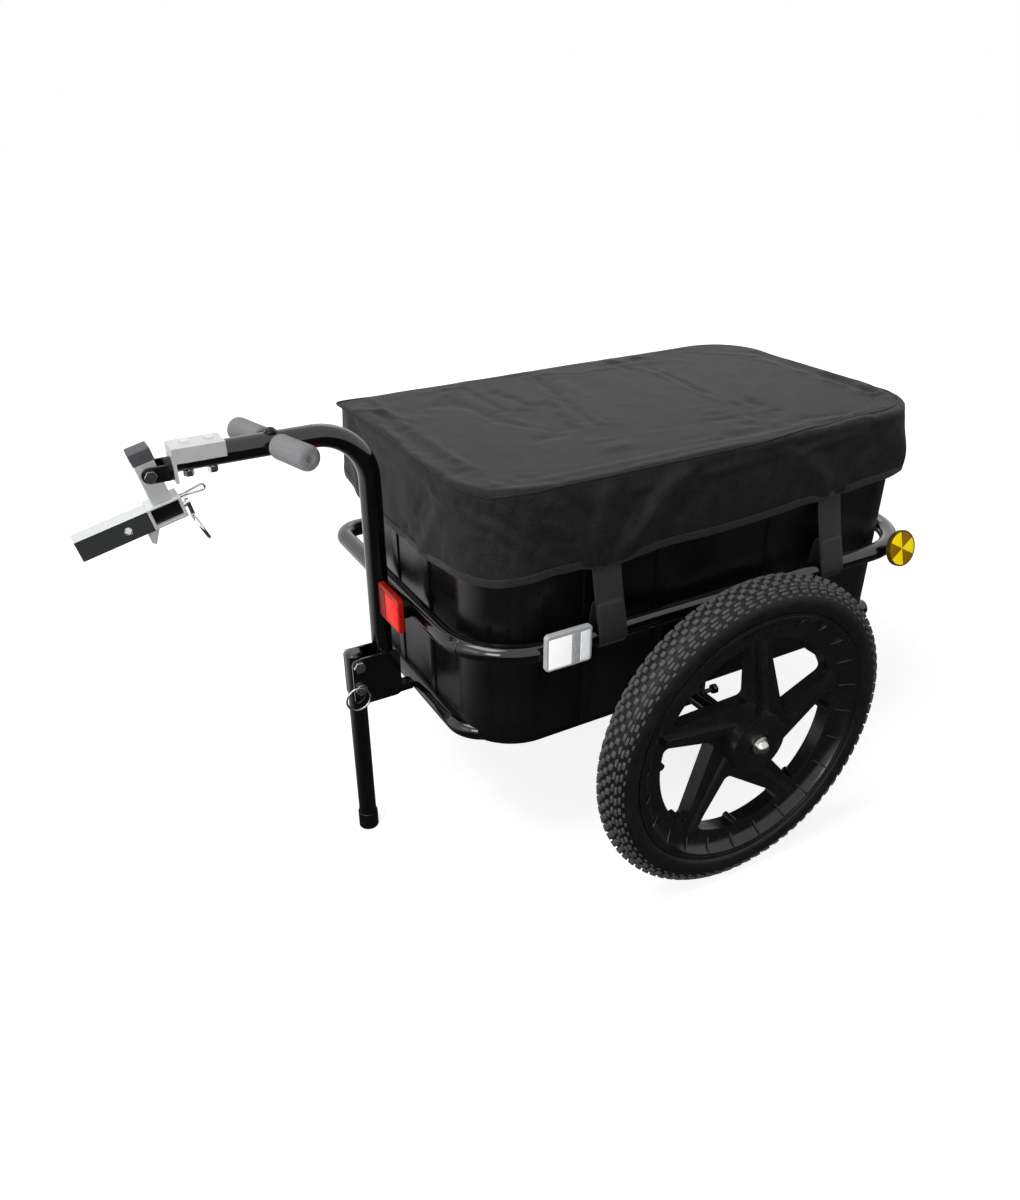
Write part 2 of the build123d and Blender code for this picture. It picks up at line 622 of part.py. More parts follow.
# ---------------------------------------------------------------- leg
def leg_bracket():
    """Two cheek plates welded to the drawbar's foot, with the leg between them."""
    plates = []
    for side in (-1, 1):
        inner = side * CHEEK_Y
        outer = side * CHEEK_OUTSIDE
        plate = box_between(CHEEK_REAR, CHEEK_FRONT, inner, outer, CHEEK_BOTTOM, CHEEK_TOP)
        plate = fillet(plate.edges().filter_by(Axis.Y), CHEEK_CORNER)
        for height in (LEG_PIVOT_HEIGHT, LOCK_PIN_HEIGHT):
            plate -= cylinder_y(PIVOT_RADIUS, inner - side, outer + side, LEG_X, height)
        plates.append(plate)
    return plates


def hex_head(radius, height):
    """Bolt head or nut, its base at z = 0."""
    return extrude(RegularPolygon(radius, 6), amount=height)


def pivot_bolt():
    """Bolt across the cheeks on which the leg folds, with its head and nut."""
    bolt = cylinder_y(PIVOT_RADIUS, -CHEEK_OUTSIDE - 1, CHEEK_OUTSIDE + 1, LEG_X, LEG_PIVOT_HEIGHT)
    for side in (-1, 1):
        place = Pos(LEG_X, side * CHEEK_OUTSIDE, LEG_PIVOT_HEIGHT) * Rot(-90 * side, 0, 0)
        bolt += place * hex_head(PIVOT_HEAD_RADIUS, PIVOT_HEAD_HEIGHT)
    return bolt


def lock_pin():
    """Head, washer and tail of the pin that locks the leg; its shank stops at the cheeks."""
    parts = []
    for side in (-1, 1):
        shank = cylinder_y(PIVOT_RADIUS, side * CHEEK_Y, side * (CHEEK_OUTSIDE + LOCK_PIN_TAIL),
                           LEG_X, LOCK_PIN_HEIGHT)
        head = cylinder_y(LOCK_PIN_HEAD_RADIUS, side * CHEEK_OUTSIDE,
                          side * (CHEEK_OUTSIDE + LOCK_PIN_HEAD_HEIGHT), LEG_X, LOCK_PIN_HEIGHT)
        parts.append(shank + head)
    return parts


def pin_clip():
    """Round wire clip hanging from the lock pin's head."""
    reach = CHEEK_OUTSIDE + LOCK_PIN_HEAD_HEIGHT + CLIP_WIRE_RADIUS + CLIP_GAP
    place = Pos(LEG_X + CLIP_AHEAD, reach, LOCK_PIN_HEIGHT - CLIP_DROP) * Rot(90, 0, 0)
    return place * Torus(CLIP_RADIUS, CLIP_WIRE_RADIUS)


def leg():
    """Straight tube that carries the front of the parked trailer."""
    top = LEG_PIVOT_HEIGHT + LEG_TOP_ABOVE_PIVOT
    tube = cylinder_z(LEG_RADIUS, LEG_FOOT_WALL, top, LEG_X)
    rim = tube.edges().filter_by(GeomType.CIRCLE).sort_by(Axis.Z)[-1]
    tube = fillet(rim, LEG_TOP_ROUND)
    for height in (LEG_PIVOT_HEIGHT, LOCK_PIN_HEIGHT):
        tube -= cylinder_y(PIVOT_RADIUS + RUNNING_CLEARANCE, -CHEEK_OUTSIDE, CHEEK_OUTSIDE, LEG_X, height)
    return tube


def leg_foot():
    """Plastic foot pushed over the leg's end."""
    outside = cylinder_z(LEG_RADIUS + LEG_FOOT_WALL, 0, LEG_FOOT_HEIGHT, LEG_X)
    rim = outside.edges().filter_by(GeomType.CIRCLE).sort_by(Axis.Z)[0]
    outside = fillet(rim, LEG_FOOT_ROUND)
    inside = cylinder_z(LEG_RADIUS, LEG_FOOT_WALL, LEG_FOOT_HEIGHT + 1, LEG_X)
    return outside - inside


# ---------------------------------------------------------------- reflectors
def loop_clip(x, y):
    """Ring clip round the loop's tube, open along the tube."""
    ring = cylinder_x(TUBE_RADIUS + REFLECTOR_CLIP_WALL, x - REFLECTOR_CLIP_HALF, x + REFLECTOR_CLIP_HALF,
                      y, LOOP_HEIGHT)
    return ring - cylinder_x(TUBE_RADIUS, x - REFLECTOR_CLIP_HALF - 1, x + REFLECTOR_CLIP_HALF + 1,
                             y, LOOP_HEIGHT)


def side_reflector():
    """Clear reflector on the loop's left run."""
    back = LOOP_HALF_WIDTH + TUBE_RADIUS + REFLECTOR_CLIP_WALL
    lens = box_between(SIDE_REFLECTOR_X - REFLECTOR_LENGTH / 2, SIDE_REFLECTOR_X + REFLECTOR_LENGTH / 2,
                       back, back + REFLECTOR_THICKNESS,
                       REFLECTOR_HEIGHT_ON_LOOP - REFLECTOR_HEIGHT / 2,
                       REFLECTOR_HEIGHT_ON_LOOP + REFLECTOR_HEIGHT / 2)
    return fillet(lens.edges().filter_by(Axis.Y), REFLECTOR_CORNER)


def front_reflector():
    """Red reflector beside the drawbar."""
    face = DRAWBAR_X + FRONT_REFLECTOR_AHEAD
    start = DRAWBAR_RADIUS + FRONT_REFLECTOR_GAP
    lens = box_between(face - REFLECTOR_THICKNESS, face, start, start + REFLECTOR_LENGTH,
                       REFLECTOR_HEIGHT_ON_LOOP - REFLECTOR_HEIGHT / 2,
                       REFLECTOR_HEIGHT_ON_LOOP + REFLECTOR_HEIGHT / 2)
    return fillet(lens.edges().filter_by(Axis.X), REFLECTOR_CORNER)


def front_reflector_bracket():
    """Block that stands the front reflector off the loop."""
    middle = DRAWBAR_RADIUS + FRONT_REFLECTOR_GAP + REFLECTOR_LENGTH / 2
    block = box_between(LOOP_FRONT, DRAWBAR_X + FRONT_REFLECTOR_AHEAD - REFLECTOR_THICKNESS,
                        middle - REFLECTOR_STUB_HALF, middle + REFLECTOR_STUB_HALF,
                        LOOP_HEIGHT - REFLECTOR_STUB_HALF, LOOP_HEIGHT + REFLECTOR_STUB_HALF)
    return block - cylinder_y(TUBE_RADIUS, 0, 2 * middle, LOOP_FRONT, LOOP_HEIGHT)


def round_place():
    """Centre of the round reflector's back face, facing out to the left."""
    y = LOOP_HALF_WIDTH + TUBE_RADIUS + ROUND_REFLECTOR_GAP
    return Pos(ROUND_REFLECTOR_X, y, LOOP_HEIGHT + ROUND_REFLECTOR_RISE) * Rot(ROUND_REFLECTOR_TILT, 0, 0)


def round_reflector():
    """Round amber reflector at the rear corner."""
    return round_place() * cylinder_y(ROUND_REFLECTOR_RADIUS, 0, ROUND_REFLECTOR_THICKNESS)


def round_reflector_bracket():
    """Stub between the loop's corner and the round reflector."""
    stub = round_place() * cylinder_y(ROUND_STUB_RADIUS, -ROUND_STUB_LENGTH, 0)
    return stub - upper_loop()


# ---------------------------------------------------------------- coupling
def tilted():
    """Local frame of the coupling: origin on the cross bolt, nose-down by its tilt."""
    return Pos(COUPLING_X, 0, SWIVEL_HEIGHT) * Rot(0, COUPLING_TILT, 0)


def saddle():
    """Channel bolted over the drawbar's end, closed by a front plate."""
    half = DRAWBAR_RADIUS + SADDLE_WALL
    top = DRAWBAR_TOP + half
    rear = DRAWBAR_END - SADDLE_LENGTH
    block = box_between(rear, DRAWBAR_END, -half, half, DRAWBAR_TOP, top)
    block -= cylinder_x(DRAWBAR_RADIUS, rear - 1, DRAWBAR_END + 1, z=DRAWBAR_TOP)
    plate = box_between(DRAWBAR_END, PLATE_FRONT, -half, half, SWIVEL_HEIGHT - SWIVEL_RADIUS, top)
    return block + plate


def saddle_bolts():
    """Two bolts through the saddle and the drawbar, with nuts below."""
    parts = []
    top = DRAWBAR_TOP + DRAWBAR_RADIUS + SADDLE_WALL
    bottom = DRAWBAR_TOP - DRAWBAR_RADIUS - SADDLE_NUT_HEIGHT
    for back in SADDLE_BOLT_PLACES:
        x = DRAWBAR_END - back
        bolt = cylinder_z(SADDLE_BOLT_RADIUS, bottom + 1, top, x)
        bolt += Pos(x, 0, top) * hex_head(SADDLE_HEX_RADIUS, SADDLE_HEAD_HEIGHT)
        bolt += Pos(x, 0, bottom) * hex_head(SADDLE_HEX_RADIUS, SADDLE_NUT_HEIGHT)
        parts.append(bolt)
    return parts


def swivel():
    """Disc that turns on the saddle's plate, with a fork for the cross bolt."""
    disc = cylinder_x(SWIVEL_RADIUS, PLATE_FRONT + SWIVEL_GAP, SWIVEL_FRONT, z=SWIVEL_HEIGHT)
    rear = SWIVEL_FRONT - FORK_BASE
    low = SWIVEL_HEIGHT - FORK_HALF_HEIGHT
    high = SWIVEL_HEIGHT + FORK_HALF_HEIGHT
    fork = disc + box_between(rear, SWIVEL_FRONT, -FORK_OUTSIDE, FORK_OUTSIDE, low, high)
    for side in (-1, 1):
        inner = side * FORK_INSIDE
        outer = side * FORK_OUTSIDE
        fork += box_between(rear, COUPLING_X, inner, outer, low, high)
        fork += cylinder_y(FORK_HALF_HEIGHT, inner, outer, COUPLING_X, SWIVEL_HEIGHT)
    reach = FORK_OUTSIDE + 1
    return fork - cylinder_y(CROSS_BOLT_RADIUS, -reach, reach, COUPLING_X, SWIVEL_HEIGHT)


def cross_bolt():
    """Bolt across the fork on which the post tips."""
    bolt = cylinder_y(CROSS_BOLT_RADIUS, -FORK_OUTSIDE - 1, FORK_OUTSIDE + 1, COUPLING_X, SWIVEL_HEIGHT)
    for side in (-1, 1):
        place = Pos(COUPLING_X, side * FORK_OUTSIDE, SWIVEL_HEIGHT) * Rot(-90 * side, 0, 0)
        bolt += place * hex_head(CROSS_HEX_RADIUS, CROSS_HEX_HEIGHT)
    return bolt


def post():
    """Square post that tips on the cross bolt, with a round spindle below."""
    half = POST_WIDTH / 2
    body = box_between(-half, half, -half, half, POST_BOTTOM, POST_TOP)
    spindle = cylinder_z(SPINDLE_RADIUS, BLOCK_BOTTOM + BLOCK_FLOOR + SPINDLE_END_GAP, POST_BOTTOM)
    bore = cylinder_y(CROSS_BOLT_RADIUS + RUNNING_CLEARANCE, -half - 1, half + 1)
    return tilted() * (body + spindle - bore)


def post_cap():
    """Plastic cap on the post's top."""
    half = POST_WIDTH / 2 + CAP_OVERLAP
    cap = box_between(-half, half, -half, half, POST_TOP, POST_TOP + CAP_HEIGHT)
    return tilted() * fillet(cap.edges().sort_by(Axis.Z)[-4:], CAP_ROUND)


def spindle_bore():
    """Bore for the spindle through the bracket's lid and into the block."""
    return cylinder_z(SPINDLE_RADIUS + RUNNING_CLEARANCE, BLOCK_BOTTOM + BLOCK_FLOOR, LID_TOP + 1)


def coupling_block():
    """Black bearing block in which the spindle turns."""
    length = BLOCK_LENGTH / 2
    width = BLOCK_WIDTH / 2
    block = box_between(-length, length, -width, width, BLOCK_BOTTOM, BLOCK_TOP)
    return tilted() * (block - spindle_bore())


def coupling_bracket():
    """Bent plate round the block, open at the sides, with a lug under its front."""
    inside = BLOCK_LENGTH / 2
    width = BRACKET_WIDTH / 2
    shell = box_between(-BRACKET_END, BRACKET_END, -width, width, BRACKET_BOTTOM, LID_TOP)
    shell -= box_between(-inside, inside, -width - 1, width + 1, BLOCK_BOTTOM, BLOCK_TOP)
    corners = [(LUG_REAR, BLOCK_BOTTOM - 1), (BRACKET_END, BLOCK_BOTTOM - 1),
               (LUG_FRONT, BAR_CENTRE - BAR_WIDTH / 2), (LUG_FRONT, LUG_TIP_HEIGHT + LUG_TIP_WIDTH),
               (LUG_FRONT - LUG_TIP_WIDTH, LUG_TIP_HEIGHT)]
    outline = make_face(Polyline(*corners, close=True))
    lug = extrude(Plane.XZ * outline, amount=LUG_THICKNESS / 2, both=True)
    return tilted() * (shell + lug - spindle_bore() - bar_body())


def bar_body():
    """Outside of the receiver bar, without its bore."""
    half = BAR_WIDTH / 2
    return box_between(BRACKET_END, BRACKET_END + BAR_LENGTH, -half, half,
                       BAR_CENTRE - half, BAR_CENTRE + half)


def receiver_bar():
    """Square tube that slides into the scooter's socket, with its cross-pin hole."""
    half = BAR_WIDTH / 2
    end = BRACKET_END + BAR_LENGTH
    inner = half - BAR_WALL
    bar = bar_body()
    bar -= box_between(BRACKET_END + BAR_BORE_DEPTH, end + 1, -inner, inner,
                       BAR_CENTRE - inner, BAR_CENTRE + inner)
    bar -= cylinder_y(BAR_PIN_RADIUS, -half - 1, half + 1, end - BAR_PIN_FROM_END, BAR_CENTRE)
    return tilted() * bar


def wing_screw():
    """Clamp screw behind the block: a flat lever with a ring hanging from it."""
    lever_rear = -BRACKET_END - LEVER_GAP - LEVER_THICKNESS
    screw = cylinder_x(LEVER_SCREW_RADIUS, lever_rear, -BRACKET_END, z=LEVER_SCREW_HEIGHT)
    lever = box_between(lever_rear, lever_rear + LEVER_THICKNESS, -LEVER_WIDTH / 2, LEVER_WIDTH / 2,
                        LEVER_BOTTOM, LEVER_TOP)
    lever = fillet(lever.edges().filter_by(Axis.X), LEVER_THICKNESS)
    ring = Pos(-RING_BACK, 0, RING_HEIGHT) * Rot(0, 90 + RING_LEAN, 0) * Torus(RING_RADIUS, RING_WIRE_RADIUS)
    return tilted() * (screw + lever + ring)


def release_pin():
    """Pull pin above the lever, its tail bent to a long wire loop."""
    loop_start = -BRACKET_END - PULL_SHANK
    shank = cylinder_x(PULL_SHANK_RADIUS, loop_start, -BRACKET_END, z=PULL_HEIGHT)
    centre = loop_start - PULL_LOOP_LENGTH + PULL_LOOP_RADIUS
    reach = sqrt((loop_start + 1 - centre) ** 2 + PULL_WIRE_RADIUS ** 2)
    turn = atan(PULL_WIRE_RADIUS / (loop_start + 1 - centre)) + acos(PULL_LOOP_RADIUS / reach)
    touch_x = centre + PULL_LOOP_RADIUS * cos(turn)
    touch_z = PULL_LOOP_RADIUS * sin(turn)
    upper = Line((loop_start + 1, 0, PULL_HEIGHT + PULL_WIRE_RADIUS), (touch_x, 0, PULL_HEIGHT + touch_z))
    head = ThreePointArc((touch_x, 0, PULL_HEIGHT + touch_z), (centre - PULL_LOOP_RADIUS, 0, PULL_HEIGHT),
                         (touch_x, 0, PULL_HEIGHT - touch_z))
    lower = Line((touch_x, 0, PULL_HEIGHT - touch_z), (loop_start + 1, 0, PULL_HEIGHT - PULL_WIRE_RADIUS))
    return tilted() * (shank + rod_along(Wire([upper, head, lower]), PULL_WIRE_RADIUS))


# ---------------------------------------------------------------- assembly
def wheel_parts(name, side):
    """Rim, tyre and bush of one wheel; both wheels are the same casting."""
    turn = 0 if side > 0 else 180
    place = Pos(0, side * HALF_TRACK, AXLE_HEIGHT) * Rot(0, 0, turn)
    return {
        f"wheel_{name}_rim": place * wheel_rim(),
        f"wheel_{name}_tyre": place * wheel_tyre(),
        f"wheel_{name}_bush": place * wheel_bush(),
    }


def axle_nut(side):
    """Washer and domed nut that keep the wheel on its stub."""
    inner = HALF_TRACK + HUB_WIDTH / 2 + NUT_GAP
    washer = cylinder_y(WASHER_RADIUS, side * inner, side * (inner + WASHER_THICKNESS), z=AXLE_HEIGHT)
    nut = cylinder_y(NUT_RADIUS, side * inner, side * (inner + NUT_DOME_HEIGHT), z=AXLE_HEIGHT)
    return washer + nut - cylinder_y(STUB_RADIUS, -STUB_END, STUB_END, z=AXLE_HEIGHT)


def build_parts():
    """All pieces by node name."""
    loop = upper_loop()
    rails = lower_frame()
    axle_bar = axle()
    bar = drawbar()
    bolts = saddle_bolts()
    for bolt in bolts:
        bar -= bolt
    channel = saddle()
    for bolt in bolts:
        channel -= bolt
    parts = {
        "tub": tub(),
        "cover": cover(),
        "frame_loop": loop,
        "frame_rails": rails,
        "axle": axle_bar,
        "frame_strut_left": strut(1) - axle_bar - loop,
        "frame_strut_right": strut(-1) - axle_bar - loop,
        "drawbar": bar,
        "frame_joint": Compound(children=[piece - bar for piece in frame_joint()]),
        "handle_bar": handle_bar(),
        "handle_grip_left": handle_grip(1),
        "handle_grip_right": handle_grip(-1),
        "leg_bracket": Compound(children=leg_bracket()),
        "leg_pivot_bolt": pivot_bolt(),
        "leg_lock_pin": Compound(children=lock_pin()),
        "leg_pin_clip": pin_clip(),
        "leg_tube": leg(),
        "leg_foot": leg_foot(),
        "reflector_side": side_reflector(),
        "reflector_side_clip": loop_clip(SIDE_REFLECTOR_X, LOOP_HALF_WIDTH),
        "reflector_front": front_reflector(),
        "reflector_front_bracket": front_reflector_bracket(),
        "reflector_round": round_reflector(),
        "reflector_round_bracket": round_reflector_bracket(),
        "axle_nut_left": axle_nut(1),
        "axle_nut_right": axle_nut(-1),
        "hitch_saddle": channel,
        "hitch_saddle_bolts": Compound(children=bolts),
        "hitch_swivel": swivel(),
        "hitch_cross_bolt": cross_bolt(),
        "hitch_post": post(),
        "hitch_post_cap": post_cap(),
        "hitch_block": coupling_block(),
        "hitch_bracket": coupling_bracket(),
        "hitch_bar": receiver_bar(),
        "hitch_wing_screw": wing_screw(),
        "hitch_release_pin": release_pin(),
    }
    for name, side in (("left", 1), ("right", -1)):
        parts[f"strap_{name}_front"] = strap(STRAP_FRONT_X, side)
        parts[f"strap_{name}_rear"] = strap(STRAP_REAR_X, side)
        parts.update(wheel_parts(name, side))
    return parts


def outline_middle(parts):
    """X of the middle of the whole trailer's outline."""
    boxes = [shape.bounding_box() for shape in parts.values()]
    return (min(box.min.X for box in boxes) + max(box.max.X for box in boxes)) / 2


if __name__ == "__main__":
    os.makedirs("parts", exist_ok=True)
    pieces = build_parts()
    middle = outline_middle(pieces)
    print("axle at x =", round(-middle, 4))
    for node, shape in pieces.items():
        export_step(Pos(-middle, 0, 0) * shape, f"parts/{node}.step")
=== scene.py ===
"""Looks of a covered tub trailer for a mobility scooter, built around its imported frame.

The frame gives every solid at its real size and place. Each sub-assembly here
gives its solids their finish, and models what a plain solid can't show: the
tyres' tread, the sewn cover, the webbing, foam grips, lenses and plated parts.
"""

import json
import logging
import math
from dataclasses import dataclass
from enum import Enum
from typing import Any, Mapping, Optional, Sequence

import bmesh
import bpy
from mathutils import Matrix, Vector, noise

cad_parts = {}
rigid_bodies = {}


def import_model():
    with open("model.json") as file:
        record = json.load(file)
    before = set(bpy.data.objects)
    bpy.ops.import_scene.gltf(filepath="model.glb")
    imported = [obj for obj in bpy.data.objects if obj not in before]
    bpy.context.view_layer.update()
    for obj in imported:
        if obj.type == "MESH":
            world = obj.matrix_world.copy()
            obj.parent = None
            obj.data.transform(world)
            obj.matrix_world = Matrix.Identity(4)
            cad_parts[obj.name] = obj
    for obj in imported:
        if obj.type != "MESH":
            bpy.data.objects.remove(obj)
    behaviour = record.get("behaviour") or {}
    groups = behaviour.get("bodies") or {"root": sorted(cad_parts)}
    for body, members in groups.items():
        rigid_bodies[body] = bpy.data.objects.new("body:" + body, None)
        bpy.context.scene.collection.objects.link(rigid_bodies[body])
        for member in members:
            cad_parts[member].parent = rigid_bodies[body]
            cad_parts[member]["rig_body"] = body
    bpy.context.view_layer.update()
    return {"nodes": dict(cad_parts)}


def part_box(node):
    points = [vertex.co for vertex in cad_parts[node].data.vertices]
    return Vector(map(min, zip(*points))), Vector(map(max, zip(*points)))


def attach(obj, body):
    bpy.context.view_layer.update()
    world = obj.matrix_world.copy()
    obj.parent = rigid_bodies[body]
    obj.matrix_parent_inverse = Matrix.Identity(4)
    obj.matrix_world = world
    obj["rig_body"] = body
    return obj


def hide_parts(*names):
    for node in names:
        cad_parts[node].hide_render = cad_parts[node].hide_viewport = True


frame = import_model()
log = logging.getLogger("trailer")

TAU = 2 * math.pi
Y_AXIS = (0.0, 1.0, 0.0)


def mm(value: float) -> float:
    """Millimetres as metres."""
    return value * 0.001


# ------------------------------------------------------------------ shared tools
def smooth_step(start: float, end: float, value: float) -> float:
    """Rises smoothly from zero at start to one at end."""
    share = min(1.0, max(0.0, (value - start) / (end - start)))
    return share * share * (3 - 2 * share)


def hump(distance: float, reach: float) -> float:
    """Bell shape: one at no distance, nearly gone at twice the reach."""
    return math.exp(-(distance / reach) ** 2)


def linear(hex_colour: str) -> tuple[float, float, float, float]:
    """Turns an sRGB hex colour to linear.

    Args:
        hex_colour: Six hex digits, with or without a leading hash.

    Returns:
        Red, green, blue and an alpha of one.
    """
    digits = hex_colour.lstrip("#")
    channels = [int(digits[i:i + 2], 16) / 255 for i in (0, 2, 4)]
    red, green, blue = (c / 12.92 if c <= 0.04045 else ((c + 0.055) / 1.055) ** 2.4 for c in channels)
    return red, green, blue, 1.0


def add_node(tree: bpy.types.NodeTree, kind: str, settings: Optional[Mapping[Any, Any]] = None,
             links: Optional[Mapping[Any, bpy.types.NodeSocket]] = None) -> bpy.types.Node:
    """Adds a node with its settings and links.

    Args:
        tree: The node tree that gets the node.
        kind: The node's type name.
        settings: Values by input name or number, or by the node's property.
        links: Output sockets by the name or number of the input they feed.

    Returns:
        The new node.
    """
    node = tree.nodes.new(kind)
    for key, value in (settings or {}).items():
        if isinstance(key, int) or key in node.inputs:
            node.inputs[key].default_value = value
        else:
            setattr(node, key, value)
    for key, source in (links or {}).items():
        tree.links.new(source, node.inputs[key])
    return node


def ranged(tree: bpy.types.NodeTree, value: bpy.types.NodeSocket, source: tuple[float, float],
           result: tuple[float, float], kind: str = "LINEAR") -> bpy.types.NodeSocket:
    """Adds a map from one range of values to another.

    Args:
        tree: The node tree that gets the map.
        value: The value that it reads.
        source: Where the value starts and ends.
        result: What it gives there.
        kind: How it goes from the start to the end.

    Returns:
        The map's result.
    """
    return add_node(tree, "ShaderNodeMapRange", {
        "interpolation_type": kind, "From Min": source[0], "From Max": source[1], "To Min": result[0],
        "To Max": result[1]}, {"Value": value}).outputs["Result"]


def noise_of(tree: bpy.types.NodeTree, space: bpy.types.NodeSocket, size_mm: float, detail: float,
             roughness: float = 0.5) -> bpy.types.NodeSocket:
    """Adds noise with patches of about this many millimetres, and gives its value."""
    return add_node(tree, "ShaderNodeTexNoise", {"Scale": 1000 / size_mm, "Detail": detail,
                                                 "Roughness": roughness}, {"Vector": space}).outputs["Fac"]


def meshed(bm: bmesh.types.BMesh, name: str) -> bpy.types.Mesh:
    """Turns a bmesh into a mesh, and frees it."""
    mesh = bpy.data.meshes.new(name)
    bm.to_mesh(mesh)
    bm.free()
    return mesh


def placed(name: str, data: bpy.types.ID) -> bpy.types.Object:
    """Makes an object of a mesh, a lamp or a camera, and puts it in the scene."""
    made = bpy.data.objects.new(name, data)
    bpy.context.scene.collection.objects.link(made)
    return made


def as_piece(bm: bmesh.types.BMesh, name: str, finish: "Finish", body: str,
             replaced: Sequence[str] = (), crease: float = 35.0) -> bpy.types.Object:
    """Turns a bmesh into a finished piece that rides on a body.

    Args:
        bm: The shape, in place; it is freed.
        name: The piece's name.
        finish: The surface it gets.
        body: The body that it rides on.
        replaced: Solids that the piece stands for.
        crease: Edges sharper than this many degrees stay crisp.

    Returns:
        The piece's object.
    """
    mesh = meshed(bm, name)
    mesh.shade_smooth()
    mesh.set_sharp_from_angle(angle=math.radians(crease))
    mesh.materials.append(finish.material())
    piece = placed(name, mesh)
    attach(piece, body)
    if replaced:
        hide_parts(*replaced)
    log.info("%s: %d faces on %s", name, len(mesh.polygons), body)
    return piece


def spun(profile: Sequence[tuple[float, float]], steps: int, closed: bool = False) -> bmesh.types.BMesh:
    """Turns an outline about the Y axis.

    Args:
        profile: Points as (place along Y, radius), in millimetres.
        steps: Faces round the turn.
        closed: Whether the last point joins the first.

    Returns:
        The turned shape with its normals outward.
    """
    bm = bmesh.new()
    points = [bm.verts.new((0.0, mm(along), mm(radius))) for along, radius in profile]
    pairs = list(zip(points, points[1:] + points[:1] if closed else points[1:]))
    edges = [bm.edges.new(pair) for pair in pairs]
    bmesh.ops.spin(bm, geom=points + edges, cent=(0, 0, 0), axis=Y_AXIS, dvec=(0, 0, 0), angle=TAU,
                   steps=steps, use_merge=True, use_normal_flip=False, use_duplicate=False)
    bmesh.ops.remove_doubles(bm, verts=bm.verts, dist=mm(0.01))
    bmesh.ops.recalc_face_normals(bm, faces=bm.faces)
    return bm


def edges_of(verts: Sequence[bmesh.types.BMVert]) -> list[bmesh.types.BMEdge]:
    """Edges at some vertices, each once and always in the same order."""
    return list(dict.fromkeys(e for v in verts for e in v.link_edges))


def repeat_round(bm: bmesh.types.BMesh, count: int) -> None:
    """Repeats all faces evenly about the Y axis, so that there are count of them."""
    bmesh.ops.spin(bm, geom=list(bm.faces), cent=(0, 0, 0), axis=Y_AXIS, dvec=(0, 0, 0),
                   angle=TAU * (count - 1) / count, steps=count - 1, use_merge=False,
                   use_normal_flip=False, use_duplicate=True)


def rounded_box(bm: bmesh.types.BMesh, size: Sequence[float], place: Matrix, edge: float,
                segments: int = 2) -> list[bmesh.types.BMVert]:
    """Adds a box with rounded edges.

    Args:
        bm: The mesh that gets the box.
        size: Its three sides in millimetres.
        place: Where its middle is, in metres.
        edge: The rounding's size in millimetres.
        segments: Faces across the rounding.

    Returns:
        The box's corners, as far as the rounding left them.
    """
    scale = Matrix.Diagonal((mm(size[0]), mm(size[1]), mm(size[2]), 1.0))
    made = bmesh.ops.create_cube(bm, size=1.0, matrix=place @ scale)["verts"]
    edges = edges_of(made)
    result = bmesh.ops.bevel(bm, geom=edges, offset=mm(edge), offset_type="OFFSET", segments=segments,
                             profile=0.5, affect="EDGES", clamp_overlap=True, material=-1)
    return result["verts"]


def softened(node: str, finish: "Finish", edge: float = 0.8, segments: int = 2,
             body: Optional[str] = None) -> bpy.types.Object:
    """Copies a solid, merges it and rounds its hard edges.

    Args:
        node: The solid's name.
        finish: The surface it gets.
        edge: The rounding's size in millimetres.
        segments: Faces across the rounding.
        body: The body it rides on, or None for the solid's own.

    Returns:
        The piece that stands for the solid.
    """
    bm = bmesh.new()
    bm.from_mesh(frame["nodes"][node].data)
    bmesh.ops.remove_doubles(bm, verts=bm.verts, dist=mm(0.004))
    bmesh.ops.dissolve_limit(bm, angle_limit=math.radians(0.5), verts=bm.verts, edges=bm.edges,
                             use_dissolve_boundaries=False)
    piece = as_piece(bm, node + "_shape", finish, body or frame["nodes"][node]["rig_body"], [node])
    bevel = piece.modifiers.new("rounded edges", "BEVEL")
    bevel.width = mm(edge)
    bevel.segments = segments
    bevel.limit_method = "ANGLE"
    bevel.angle_limit = math.radians(38)
    bevel.use_clamp_overlap = True
    bevel.harden_normals = True
    return piece


def smoothed(piece: bpy.types.Object) -> None:
    """Rounds a piece of cloth between its points."""
    smooth = piece.modifiers.new("smooth", "SUBSURF")
    smooth.levels = smooth.render_levels = 1


def thickened(piece: bpy.types.Object, thickness: float, offset: float) -> None:
    """Gives cloth or webbing its thickness in millimetres, and rounds its folds."""
    wall = piece.modifiers.new("thickness", "SOLIDIFY")
    wall.thickness = mm(thickness)
    wall.offset = offset
    smoothed(piece)


def middle_of(node: str) -> Vector:
    """Middle of a solid's box."""
    low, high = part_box(node)
    return (low + high) / 2


